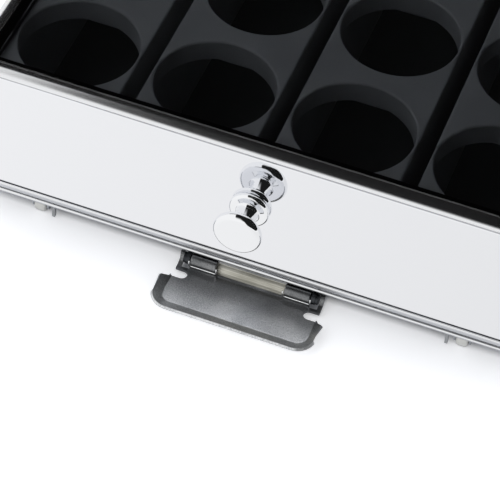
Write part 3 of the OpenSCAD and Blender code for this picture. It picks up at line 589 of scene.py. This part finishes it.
def front_strip(name, section, gap):
    """Draws [back, height] points across the front and round its corners, to gap mm short of the side."""
    piece = line(name, [(-corner_x, y, z) for y, z in section])
    select_all()
    bpy.ops.mesh.edge_face_add()
    extrude(x=2 * corner_x)
    turn = math.pi / 2 - math.asin(gap / corner)
    for side in (1, -1):
        pick("FACE", lambda x, y, z, f: near(x, side * corner_x) and abs(f.normal.x) > 0.99)
        spin(14, side * turn, at(side * corner_x, corner, 0), (0, 0, 1))
        pick("FACE", lambda x, y, z, f: all(near(v.co.x / mm, side * corner_x) for v in f.verts))
        bpy.ops.mesh.delete(type="ONLY_FACE")
    clean()
    print(name, "open edges:", open_edges())
    return piece


panel_low, panel_high = [v[2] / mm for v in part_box("front_panel")]
panel_r, panel_t, panel_gap = 0.9, 2.4, 0.75
panel = front_strip("mirror_panel", [
    *arc(panel_r, panel_high - panel_r, panel_r, 90, 180, 6),
    *arc(panel_r, panel_low + panel_r, panel_r, 180, 270, 6),
    (panel_t, panel_low), (panel_t, panel_high)], panel_gap)
done(panel, mirror_chrome, "chrome_panel", "drawer", "front_panel")

# %% Sill
sill_low, sill_high = [v[2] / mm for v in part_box("sill")]
groove, groove_h, groove_in, groove_r = sill_low + 1.65, 0.7, 1.2, 0.25
sill_in, sill_r, lip, sill_gap = 4.5, 0.7, 0.4, 0.1
sill = front_strip("grooved_sill", [
    (sill_in, sill_low), (sill_in, sill_high),
    *arc(sill_r, sill_high - sill_r, sill_r, 90, 180, 6),
    *arc(groove_r, groove + groove_h + groove_r, groove_r, 180, 270, 3),
    (groove_in, groove + groove_h), (groove_in, groove),
    *arc(sill_r - lip, groove - sill_r, sill_r, 90, 180, 5),
    *arc(sill_r - lip, sill_low + sill_r, sill_r, 180, 270, 5)], sill_gap)
done(sill, rim_chrome, "chrome_frame", "body", "sill")

# %% [markdown]
# ## The knob
# A knob like this is turned from brass bar on a lathe and then plated. Blender's lathe is the spin tool: the
# half section is drawn as a line of points, from the foot over the waisted neck to the cap, and spun a full
# turn round the knob's axis. The crown of the cap is a shallow dome that meets a fully round edge.

# %% A lathe


def turned(name, section, centre, along, sides=64):
    """Spins [radius, distance] points round the axis that leaves centre in the direction along."""
    along = Vector(along)
    out = Vector((0, 0, 1)) if abs(along.z) < 0.5 else Vector((1, 0, 0))
    start = Vector(centre)
    piece = line(name, [start + out * r + along * d for r, d in section])
    select_all()
    spin(sides, 2 * math.pi, at(*centre), along)
    clean()
    return piece


knob_z = (panel_low + panel_high) / 2 + 1.7
cap_r, cap_t, foot_r, foot_t, neck_r, reach = 9.4, 4.6, 7.8, 3, 3.8, 15.8
cap_start = reach - cap_t
half_neck, waist, neck_steps = (cap_start - foot_t) / 2, 1.2, 14
dome_r, dome_h, dome_steps = cap_r * 0.74, 0.04, 6
knob = turned("turned_knob", [
    (0, 0), (foot_r - foot_t / 2, 0),
    *arc(foot_r - foot_t / 2, foot_t / 2, foot_t / 2, -80, 90, 12),
    *[(neck_r + waist * (1 - math.sin(math.pi * i / neck_steps)),
       foot_t + half_neck * (1 - math.cos(math.pi * i / neck_steps))) for i in range(neck_steps + 1)],
    *arc(cap_r - cap_t / 2, cap_start + cap_t / 2, cap_t / 2, -90, 80, 14),
    *[(dome_r * (1 - i / dome_steps), reach - dome_h * (1 - i / dome_steps) ** 2)
      for i in range(dome_steps + 1)]],
    (0, 0, knob_z), (0, -1, 0), 96)
print("open edges of the knob:", open_edges())
done(knob, knob_chrome, "chrome_knob", "drawer", "knob", angle=60)

# %% [markdown]
# ## The finger lever
# The lever is pressed from one piece of 1.2 mm steel sheet: a dish whose lips slope up at the front and the
# sides, a slot at each side, a neck that bends up into a wall, and a flange that runs back to a stop. Beside
# the knuckles the bend is cut out for the ears that hold the pins, and a narrow wing of it is left outside
# them. The upper skin of the sheet is modelled first, as flat and sloping faces with bends spun at the real
# radius. Solidify then gives it the thickness of the sheet, down and outwards, so the skin is drawn smaller
# than the exact dish by what the thickness adds to a sloping lip. The fold between floor and lip is crisp on
# the real dish, so it gets a bevel of only half a millimetre. The lips' rear corners are rounded off.

# %% The lever's dish
lever_x, sheet_t = 2.8, 1.2
floor_z, lip_h, lip_side, lip_front, lip_run = 3.0, 3.0, 3.2, 5, 2.3
dish_w, dish_front, dish_rear, dish_r = 32.06, -26.57, -9.0, 7.2
lip_z, fold_r, tip_r = floor_z + lip_h, 0.5, 1.5

lever = sheet("finger_lever", lever_x - dish_w, lever_x + dish_w, dish_front, 0, lip_z)
edit(lever)
pick("VERT", lambda x, y, z, v: near(y, dish_front))
bevel(dish_r, 12, "VERTICES")
bpy.ops.mesh.select_mode(type="FACE")
select_all()
inset(lip_side)
shift(z=-lip_h)
pick("VERT", lambda x, y, z, v: near(z, floor_z) and y < dish_front + dish_r + 0.1)
shift(y=lip_front - lip_side)
pick("EDGE", lambda x, y, z, e: near(z, floor_z) and len(e.link_faces) == 2)
bevel(fold_r, 3)
bpy.ops.mesh.select_mode(type="FACE")
select_all()
bpy.ops.mesh.bisect(plane_co=at(0, dish_rear, floor_z), plane_no=(0, lip_h, lip_run), clear_outer=True)
pick("VERT", lambda x, y, z, v: near(z, lip_z) and near(y, dish_rear - lip_run, 0.1))
bevel(tip_r, 5, "VERTICES")
print("dish faces:", len(bmesh.from_edit_mesh(lever.data).faces))

# %% [markdown]
# The floor is cut into strips at the edges of the ears and the wings, and its rear edges are drawn back to
# where the bend starts. The middle strip and the two wings then turn up together, and only the middle goes
# on over the second bend into the flange and the stop.

# %% The lever's neck, bends and flange
knuckles_end, wing_start, slot_rear, bend_y = 24.05, 27.4, -4.6, -3.3
bend_r, wall_y, flange_top, stop_y, stop_top = 3.6, 0.3, 8.2, 10.2, 11.1
for across in (-wing_start, -knuckles_end, knuckles_end, wing_start):
    pick("FACE", lambda x, y, z, f: near(z, floor_z))
    bpy.ops.mesh.bisect(plane_co=at(lever_x + across, 0, 0), plane_no=(1, 0, 0))


def rear_edges(y, z, rule=lambda off: True):
    return pick("EDGE", lambda ex, ey, ez, e: near(ey, y) and near(ez, z) and near(
        e.verts[0].co.y, e.verts[1].co.y, 1e-6) and rule(abs(ex - lever_x)))


def bend(y, z, degrees, steps=8):
    spin(steps, math.radians(degrees), at(0, y, z), (1, 0, 0))


rear_edges(dish_rear, floor_z)
extrude(y=bend_y - dish_rear)
print("strips turned up:", rear_edges(bend_y, floor_z, lambda off: off < 1 or off > wing_start))
bend(bend_y, floor_z + bend_r, 90)
extrude(z=flange_top - sheet_t - floor_z - bend_r)
rear_edges(wall_y, flange_top - sheet_t, lambda off: off < 1)
bend(wall_y + sheet_t, flange_top - sheet_t, -90, 5)
extrude(y=stop_y - wall_y - sheet_t)
extrude(z=stop_top - flange_top)
select_all()
bpy.ops.mesh.remove_doubles(threshold=0.005 * mm)
low = min(v.co.z for v in bmesh.from_edit_mesh(lever.data).verts) / mm
high = max(v.co.z for v in bmesh.from_edit_mesh(lever.data).verts) / mm
print("lever's upper skin from z %.2f to %.2f" % (low, high))

# %% [markdown]
# The faces are turned up before Solidify adds the sheet's thickness under them. The slots are punched last,
# with a round punch and a block, as in a press.

# %% The lever's thickness and slots
clean()
face_up(floor_z)
thicken(lever, sheet_t)
slot_in, slot_r, slot_y = 23.5, (slot_rear - dish_rear) / 2, (slot_rear + dish_rear) / 2
punch_w, punch_h = 12, 8
for side in (-1, 1):
    middle = lever_x + side * (slot_in + slot_r)
    select_only()
    bpy.ops.mesh.primitive_cylinder_add(vertices=40, radius=slot_r * mm, depth=punch_h * mm,
                                        location=at(middle, slot_y, floor_z))
    punch(lever, bpy.context.object)
    x0, x1 = sorted((middle, middle + side * punch_w))
    punch(lever, block("slot_punch", x0, x1, dish_rear, slot_rear, floor_z - punch_h / 2,
                       floor_z + punch_h / 2))
soften(lever, 0.22, 2, 50)
edit(lever)
print("open edges of the lever:", open_edges())

# %% [markdown]
# Two knuckles are rolled from the neck round the hinge pins, and two lugs under the flange hold the axle of
# the front wheels. A knuckle is turned as a tube with soft ends. A lug is a section drawn as a line, filled
# and extruded. Round each knuckle the press leaves a fine raised bead, which catches the light. It is a
# line of points that runs up both ends and along the front of the knuckle, turned into a curve, given a
# round section and made a mesh.

# %% Knuckles, beads and lugs
pin_y, pin_z, pin_r, knuckle_x, knuckle_w = 0.3, 5.5, 1.5, 18.9, 10.3
knuckle_r, knuckle_edge, bore_play, bore_in = 2.7, 0.4, 0.05, 0.1
bead_at, bead_r, bead_out = 2.75, 0.3, 0.35
axle_y, axle_z, axle_lug_x, axle_lug_t, axle_lug_r, axle_lug_top = 5.6, 4.4, 20, 1.6, 2.3, 7.6


def round_pin(x, degrees):
    turn = math.radians(degrees)
    return (x, -pin_y + bead_at * math.cos(turn), pin_z + bead_at * math.sin(turn))


def bead(x0, x1, high=150, low=220, corner_r=0.9):
    rise = math.degrees(corner_r / bead_at)
    turns = [math.radians(a) for a in (0, 30, 60, 90)]
    left = [round_pin(x0, high + (low - rise - high) * step / 4) for step in range(4)]
    left += [round_pin(x0 + corner_r * (1 - math.cos(a)), low - rise * (1 - math.sin(a))) for a in turns]
    piece = line("bead", left + [(x0 + x1 - x, y, z) for x, y, z in reversed(left)])
    select_only(piece)
    bpy.ops.object.convert(target="CURVE")
    piece.data.bevel_depth, piece.data.bevel_resolution = bead_r * mm, 2
    piece.data.use_fill_caps = True
    bpy.ops.object.convert(target="MESH")
    return bpy.context.object


extras = []
for side in (-1, 1):
    start = lever_x + side * knuckle_x - knuckle_w / 2
    bore = pin_r + bore_play
    knuckle = turned("knuckle", [
        (bore, bore_in), *arc(knuckle_r - knuckle_edge, knuckle_edge, knuckle_edge, -90, 0, 4),
        *arc(knuckle_r - knuckle_edge, knuckle_w - knuckle_edge, knuckle_edge, 0, 90, 4),
        (bore, knuckle_w - bore_in), (bore, bore_in)], (start, -pin_y, pin_z), (1, 0, 0), 40)
    lug_at = lever_x + side * axle_lug_x - (0 if side > 0 else axle_lug_t)
    lug = line("axle_lug", [(lug_at, y, z) for y, z in [
        *arc(axle_y, axle_z, axle_lug_r, 180, 360, 12), (axle_y + axle_lug_r, axle_lug_top),
        (axle_y - axle_lug_r, axle_lug_top)]])
    select_all()
    bpy.ops.mesh.edge_face_add()
    extrude(x=axle_lug_t)
    clean()
    extras += [knuckle, lug, bead(start - bead_out, start + knuckle_w + bead_out)]
join(lever, *extras)

# %% [markdown]
# The mirror panel stays clean of the dish, which would stand dark in it. So the lever is divided across the
# slots, both halves get a closed cut face, and the dish is left out of mirror rays. The cut is invisible, as
# both halves share it. The wall gets the rolled finish. The beads stand proud, so they are rubbed bright, and
# their faces are told from the rest by how far the pin is.

# %% Divide the lever
edit(lever)
select_all()
bpy.ops.mesh.bisect(plane_co=at(0, slot_y, 0), plane_no=(0, 1, 0))
pick("FACE", lambda x, y, z, f: y < slot_y)
bpy.ops.mesh.separate(type="SELECTED")
bpy.ops.object.mode_set(mode="OBJECT")
dish = [o for o in bpy.context.selected_objects if o is not lever][0]
dish.name = "finger_lever_dish"
lever.name = "finger_lever_neck"
for half in (dish, lever):
    edit(half)
    pick("EDGE", lambda x, y, z, e: e.is_boundary)
    bpy.ops.mesh.edge_face_add()
    clean()
    print(half.name, "open edges:", open_edges())
    done(half, tumbled_steel, "lever_steel", "lever", "lever_plate", angle=38)
dish.visible_glossy = False
lever.data.materials.append(rolled_steel)
lever.data.materials.append(rubbed_steel)
play = 0.03
for face in lever.data.polygons:
    middle = face.center / mm
    if (face.normal.y < -0.3 and bend_y < middle.y - face_y < wall_y + 0.1 and middle.z > floor_z
            and abs(middle.x - lever_x) < knuckle_x - knuckle_w / 2):
        face.material_index = 1
    from_pin = math.hypot(middle.y - face_y + pin_y, middle.z - pin_z)
    from_knuckle = abs(abs(middle.x - lever_x) - knuckle_x) - knuckle_w / 2
    if (knuckle_r + play < from_pin < bead_at + bead_r + play and middle.y - face_y < -pin_y
            and from_knuckle < 2 * bead_out):
        face.material_index = 2
print("faces of wall and beads:", [sum(face.material_index == slot for face in lever.data.polygons)
                                   for slot in (1, 2)])

# %% [markdown]
# ## The pod racks
# Each rack is an injection moulding: a plate with six round sockets, a collar under each, and skirts all
# round. One square with one hole is made first, by bridging a square loop to a circle. Its collar is drawn
# down through a rounded edge, an array repeats it six times, the outer edge is drawn down as the skirt, and
# Solidify gives the wall. The other three racks are copies.

# %% One socket
pitch, rows, socket_r, rack_w, collar, edge_r = 54.5, 6, 22.9, 48.3, 9, 0.9
rack_wall, front_land, rib_t, rib_in, rib_low, rib_high = 1.2, 2.4, 1.2, 1, 14, 1
rack_low, rack_high = [v[2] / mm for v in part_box("pod_rack_1")]
rack_y0, rack_y1 = [v[1] / mm - face_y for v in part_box("pod_rack_1")]
first_x = (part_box("pod_rack_1")[0][0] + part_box("pod_rack_1")[1][0]) / 2 / mm
socket_y = rack_y0 + front_land + socket_r
rack = sheet("pod_rack_a", first_x - rack_w / 2, first_x + rack_w / 2, socket_y - pitch / 2,
             socket_y + pitch / 2, rack_high)
edit(rack)
select_all()
bpy.ops.mesh.subdivide(number_cuts=11)
pick("VERT", lambda x, y, z, v: not v.is_boundary)
bpy.ops.mesh.delete(type="VERT")
bpy.ops.mesh.primitive_circle_add(vertices=48, radius=(socket_r + edge_r) * mm,
                                  location=at(first_x, socket_y, rack_high))
select_all()
bpy.ops.mesh.bridge_edge_loops()


def pick_inner_ring():
    pick("EDGE", lambda x, y, z, e: e.is_boundary and all(
        math.hypot(v.co.x / mm - first_x, v.co.y / mm - face_y - socket_y) < socket_r + edge_r + 0.05
        for v in e.verts))


radius = socket_r + edge_r
for r, z in arc(socket_r + edge_r, -edge_r, edge_r, 90, 180, 4)[1:] + [(socket_r, -collar)]:
    pick_inner_ring()
    low = min(v.co.z for v in bmesh.from_edit_mesh(rack.data).verts) / mm
    extrude(z=rack_high + z - low)
    bpy.ops.transform.resize(value=(r / radius, r / radius, 1),
                             center_override=at(first_x, socket_y, rack_high + z))
    radius = r
print("one socket has", len(bmesh.from_edit_mesh(rack.data).faces), "faces")

# %% The row of sockets, its skirts and its wall
modify(rack, "ARRAY", count=rows, use_relative_offset=False, use_constant_offset=True,
       constant_offset_displace=(0, pitch * mm, 0), use_merge_vertices=True, merge_threshold=0.01 * mm)
edit(rack)
for end, stop in ((socket_y - pitch / 2, rack_y0), (socket_y + (rows - 0.5) * pitch, rack_y1)):
    pick("VERT", lambda x, y, z, v: near(y, end) and near(z, rack_high))
    shift(y=stop - end)
pick("EDGE", lambda x, y, z, e: e.is_boundary and near(z, rack_high))
extrude(z=rack_low - rack_high)
clean()
face_up(rack_high)
thicken(rack, rack_wall)
edit(rack)
pick("EDGE", lambda x, y, z, e: near(z, rack_high) and (
    near(abs(x - first_x), rack_w / 2) or near(y, rack_y0) or near(y, rack_y1)))
bevel(0.8, 3)
print("skirt edges softened, ribs between sockets:", rows - 1)
ribs = []
for i in range(rows - 1):
    rib_y = socket_y + (i + 0.5) * pitch
    ribs.append(block("rib", first_x - rack_w / 2 + rib_in, first_x + rack_w / 2 - rib_in, rib_y - rib_t / 2,
                      rib_y + rib_t / 2, rack_high - rib_low, rack_high - rib_high))
    soften(ribs[-1], 0.2)
join(rack, *ribs)
for number, letter in enumerate("bcd", 1):
    done(copy_of(rack, "pod_rack_" + letter, x=number * pitch), rack_plastic, "rack_plastic", "drawer",
         "pod_rack_%d" % (number + 1))
done(rack, rack_plastic, "rack_plastic", "drawer", "pod_rack_1")

# %% [markdown]
# ## Wheels, rollers and screws
# All of them are turned shapes, so the lathe makes one of each, and copies go to the other places. A screw's
# head is a low dome with a cross recess, which two crossed bars cut out of it.

# %% Wheels
wheel_r, wheel_w, axle_r, tread_r = 4, 4.8, 1.25, 1.2
face_in, boss_in, boss_r, dish_in_r = 0.25, 0.05, 2.3, 2.1
wheel_x = (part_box("front_wheel_right")[0][0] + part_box("front_wheel_right")[1][0]) / 2 / mm
wheel = turned("front_wheel_tyre_right", [
    (axle_r, face_in), (dish_in_r, face_in), (boss_r, boss_in), (wheel_r - tread_r, boss_in),
    *arc(wheel_r - tread_r, boss_in + tread_r, tread_r, -90, 0, 5),
    *arc(wheel_r - tread_r, wheel_w - boss_in - tread_r, tread_r, 0, 90, 5),
    (wheel_r - tread_r, wheel_w - boss_in), (boss_r, wheel_w - boss_in), (dish_in_r, wheel_w - face_in),
    (axle_r, wheel_w - face_in), (axle_r, face_in)], (wheel_x - wheel_w / 2, axle_y, axle_z), (1, 0, 0), 48)
rear_wheel_y = (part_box("rear_wheel_right")[0][1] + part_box("rear_wheel_right")[1][1]) / 2 / mm - face_y
select_only()
for name, dx, dy, dz in (("front_wheel_left", -2 * wheel_x, 0, 0),
                         ("rear_wheel_right", 0, rear_wheel_y - axle_y, wheel_r - axle_z),
                         ("rear_wheel_left", -2 * wheel_x, rear_wheel_y - axle_y, wheel_r - axle_z)):
    done(copy_of(wheel, name.replace("wheel_", "wheel_tyre_"), dx, dy, dz), wheel_nylon, "wheel_plastic",
         name, name)
done(wheel, wheel_nylon, "wheel_plastic", "front_wheel_right", "front_wheel_right")

# %% Rollers
roller_edge, hub_in, tyre_in, tyre_out = 0.4, 0.2, 0.9, 0.6
for name in ("front_roller_left", "front_roller_right", "rear_roller_left", "rear_roller_right"):
    low, high = [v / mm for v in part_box(name)]
    r, w = (high.z - low.z) / 2, high.x - low.x
    middle = (low.x, (low.y + high.y) / 2 - face_y, (low.z + high.z) / 2)
    roller = turned(name + "_tyre", [
        (axle_r, hub_in), (r - tyre_in, hub_in), (r - tyre_out, 0),
        *arc(r - roller_edge, roller_edge, roller_edge, -90, 0, 4),
        *arc(r - roller_edge, w - roller_edge, roller_edge, 0, 90, 4), (r - tyre_out, w),
        (r - tyre_in, w - hub_in), (axle_r, w - hub_in), (axle_r, hub_in)], middle, (1, 0, 0), 40)
    done(roller, wheel_nylon, "wheel_plastic", name, name)

# %% One screw
shank_l, shank_r, recess_low, recess_r, recess_t = 2.4, 1.5, 0.35, 1.3, 0.24
screw = turned("pan_head_screw", [
    (0, -shank_l), (shank_r, -shank_l), (shank_r, 0), (2.55, 0), *arc(2.3, 0.35, 0.4, -40, 60, 4),
    (1.8, 0.8), (1.0, 0.88), (0, 0.9)], (0, 0, 0), (1, 0, 0), 32)
for half_y, half_z in ((recess_r, recess_t), (recess_t, recess_r)):
    punch(screw, block("bar", recess_low, 2, -half_y, half_y, -half_z, half_z))
print("screw faces:", len(screw.data.polygons))

# %% Sixteen screws
home = Matrix.Translation(-at(0, 0, 0))
frame_z = rim_low - 7
base_z = (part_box("base_screws")[0][2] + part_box("base_screws")[1][2]) / 2 / mm
number = 0
for node, z in (("frame_screws", frame_z), ("base_screws", base_z)):
    spots = [(s * body_w / 2, y, 0 if s > 0 else 180) for s in (-1, 1)
             for y in (screw_y, body_mid, body_d - screw_y)]
    spots += [(s * rear_screw_x, body_d, 90) for s in (-1, 1)]
    for x, y, turn in spots:
        number += 1
        driven = Matrix.Rotation(math.radians(turn), 4, "Z") @ Matrix.Rotation(number * 0.7, 4, "X") @ home
        head = copy_of(screw, "pan_head_screw_%d" % number)
        head.data.transform(Matrix.Translation(at(x, y, z)) @ driven)
        done(head, zinc_bright, "screw_steel", "body", node)
bpy.data.objects.remove(screw)

# %% [markdown]
# ## Finishes of the other pieces
# The exact model's other pieces have the right shape already: flat sheet, brackets, rails and pins. Each
# keeps its shape and gets its finish in its object's own material slot.

# %% Finish the exact pieces
finishes = {
    seal_foam: "glass_seal",
    sheet_chrome: "side_panel_left side_panel_right back_panel",
    silver_paint: "base_pan axle_guides",
    powder_coat: "drawer_tray",
    zinc_sheet: "runner_left runner_right drawer_rail_left drawer_rail_right rear_wheel_bracket_left "
                "rear_wheel_bracket_right",
    zinc_dark: "lever_bracket lever_pins",
    zinc_bright: "front_roller_pins foot_screws rear_axles runner_rivets bracket_rivets "
                 "knob_screw panel_screws rail_rivets rear_roller_pins wheel_axle axle_clips",
    foot_rubber: "front_feet rear_bumpers",
}
for finish, names in finishes.items():
    for name in names.split():
        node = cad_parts[name]
        if not node.data.materials:
            node.data.materials.append(finish)
        for socket in node.material_slots:
            socket.link = "OBJECT"
            socket.material = finish
    print(finish.name, "on", names)

# %% [markdown]
# ## The studio
# The object stands on a white sheet in soft, even light. To the camera the floor is a pale surface that
# takes shadows and glows a little, so that it reads as white. There is no glow under the body and round the
# lever's neck, where the sheet is in shadow, and it is strongest 32 mm and more outside. This fading glow is
# painted shadow, on top of the shadow that the lamps cast. So the floor works out how far each point lies
# outside a rectangle. In mirrors it is plain white from 12 mm outside the body on, and a painted falloff of
# light makes it slightly less bright to the right, as a lit sweep is.

# %% Floor
select_only()
bpy.ops.mesh.primitive_plane_add(size=12, location=(0, 0, 0))
floor = bpy.context.object
floor.name = "studio_floor"
white_floor, tree, place = new_finish("white_paper_floor")


def outside(x0, x1, y0, y1):
    """How far a point of the floor lies outside a rectangle, which is given in mm from the panel's face."""
    middle = ((x0 + x1) / 2 * mm, ((y0 + y1) / 2 + face_y) * mm, 0)
    half = ((x1 - x0) / 2 * mm, (y1 - y0) / 2 * mm, 0)
    off = maths(tree, "SUBTRACT", place, middle, kind="VectorMath")
    off = maths(tree, "ABSOLUTE", off, kind="VectorMath")
    off = maths(tree, "SUBTRACT", off, half, kind="VectorMath")
    off = maths(tree, "MAXIMUM", off, (0, 0, 0), kind="VectorMath")
    return maths(tree, "LENGTH", off, kind="VectorMath", result="Value")


shade_in, shade_w, shade_glow, open_w, open_glow, neck_front, neck_w = 8, 4, 0.42, 32, 0.14, -2, 2
mirror_from, mirror_to = 10.5, 12.5
from_body = outside(-body_w / 2, body_w / 2, 0, body_d)
from_shade = outside(shade_in - body_w / 2, body_w / 2 - shade_in, shade_in, body_d - shade_in)
from_neck = outside(lever_x - wing_start, lever_x + wing_start, neck_front, body_d)
# Painted shadow: the glow fades out towards the body's edge and is gone under the body and round the lever's
# neck.
glow_with_painted_shadow = maths(tree, "ADD", remap(tree, from_shade, 0.0, shade_w * mm, 0.0, shade_glow),
             remap(tree, from_body, 0.0, open_w * mm, 0.0, open_glow, "SMOOTHSTEP"))
glow_with_painted_shadow = maths(tree, "MULTIPLY", glow_with_painted_shadow, remap(tree, from_neck, 0.0, neck_w * mm))
print("floor glows up to", shade_glow + open_glow)

# %% The floor's finish
white = (1, 1, 1, 1)
rays = add(tree, "LightPath").outputs
seen = maths(tree, "MAXIMUM", rays["Is Camera Ray"], rays["Is Transmission Ray"])
paper = add(tree, "BsdfPrincipled", {
    "Base Color": hex_colour("#E5E7EC"), "Roughness": 0.9, "Specular IOR Level": 0.1,
    "Emission Color": white, "Emission Strength": maths(tree, "MULTIPLY", seen, glow_with_painted_shadow)})
parts = add(tree, "SeparateXYZ", {"Vector": place})
# Painted falloff of light: the floor seen in mirrors is a little less bright to the right.
mirrored_floor_painted_falloff = add(tree, "Emission", {"Color": white, "Strength": remap(
    tree, parts.outputs["X"], -0.12, 0.14, 0.99, 0.9)})
clear = remap(tree, from_body, mirror_from * mm, mirror_to * mm)
surface(tree, add(tree, "MixShader", {0: maths(tree, "MULTIPLY", rays["Is Glossy Ray"], clear),
                                      1: paper.outputs[0], 2: mirrored_floor_painted_falloff.outputs[0]}))
floor.data.materials.append(white_floor)
floor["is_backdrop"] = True
print("floor finish:", white_floor.name)

# %% [markdown]
# The air round the object is plain white where it is seen, mirrored or looked through, and a little darker
# as a light. Cards hang over the front and the back and stand at the right and the right front. They are
# white in front and turn dark towards the back and the right, they are seen only in reflections and in glass,
# and they give the chrome its dark lines. Two large lamps are soft and stay out of the reflections.

# %% World
world = bpy.data.worlds.new("white_studio")
bpy.context.scene.world = world
world.use_nodes = True
tree = world.node_tree
tree.nodes.clear()
rays = add(tree, "LightPath").outputs
seen = maths(tree, "MAXIMUM", rays["Is Camera Ray"], rays["Is Glossy Ray"])
seen = maths(tree, "MAXIMUM", seen, rays["Is Transmission Ray"])
sky = add(tree, "Background", {"Color": white, "Strength": remap(tree, seen, 0.0, 1.0, 0.75, 1.0)})
add(tree, "OutputWorld", {"Surface": sky.outputs[0]})
print("world:", world.name)

# %% Graduated cards for reflections


def flat_card(width, height, location, rotation=(0, 0, 0)):
    select_only()
    bpy.ops.mesh.primitive_plane_add(size=1, location=location, rotation=rotation)
    bpy.context.object.scale = (width, height, 1)
    return bpy.context.object


upright = math.pi / 2
over_front = flat_card(1.56, 1.6, (0.42, -0.5, 0.95))
over_back = flat_card(2.3, 1.9, (0.05, 1.25, 0.95))
at_right = flat_card(0.9, 2.6, (1.15, 0.4, 0.6), (0, upright, 0))
right_front = flat_card(1.1, 1.2, (0.9, -1.3, 0.85), (upright, 0, math.radians(35)))
card = join(over_front, over_back, at_right, right_front)
bpy.ops.object.transform_apply(location=True, rotation=True, scale=True)
card.name = "dark_card"
dark_card, tree, place = new_finish("graduated_dark_card")
parts = add(tree, "SeparateXYZ", {"Vector": place})
along = maths(tree, "ADD", parts.outputs["Y"], remap(tree, parts.outputs["X"], 0.0, 0.7, 0.0, 1.4))
fade = remap(tree, along, -1.25, -0.35, 0.95, 0.012, "SMOOTHSTEP")
surface(tree, add(tree, "Emission", {"Color": white, "Strength": fade}))
card.data.materials.append(dark_card)
card.visible_camera = card.visible_diffuse = card.visible_shadow = False
card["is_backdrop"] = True
print("cards, m:", [round(v, 2) for v in card.dimensions])

# %% Soft lamps
for name, spot, size, power in (("soft_top_lamp", (-0.5, 0.5, 1.3), 1.2, 6.5),
                                ("soft_front_lamp", (-0.7, -1.3, 1.2), 1.0, 4.0)):
    light = bpy.data.lights.new(name, "AREA")
    light.size, light.energy = size, power
    lamp = bpy.data.objects.new(name, light)
    bpy.context.scene.collection.objects.link(lamp)
    lamp.location = spot
    lamp.rotation_mode = "QUATERNION"
    lamp.rotation_quaternion = (-Vector(spot)).to_track_quat("-Z", "Y")
    lamp.visible_glossy = False
    print(name, power, "W")

# %% [markdown]
# ## The dressed object's size
# The dressed object must stay inside the exact model's box, so its own box is printed.

# %% Print the dressed object's size
low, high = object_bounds()
print("visual, mm:", [round(v / mm, 2) for v in high - low])
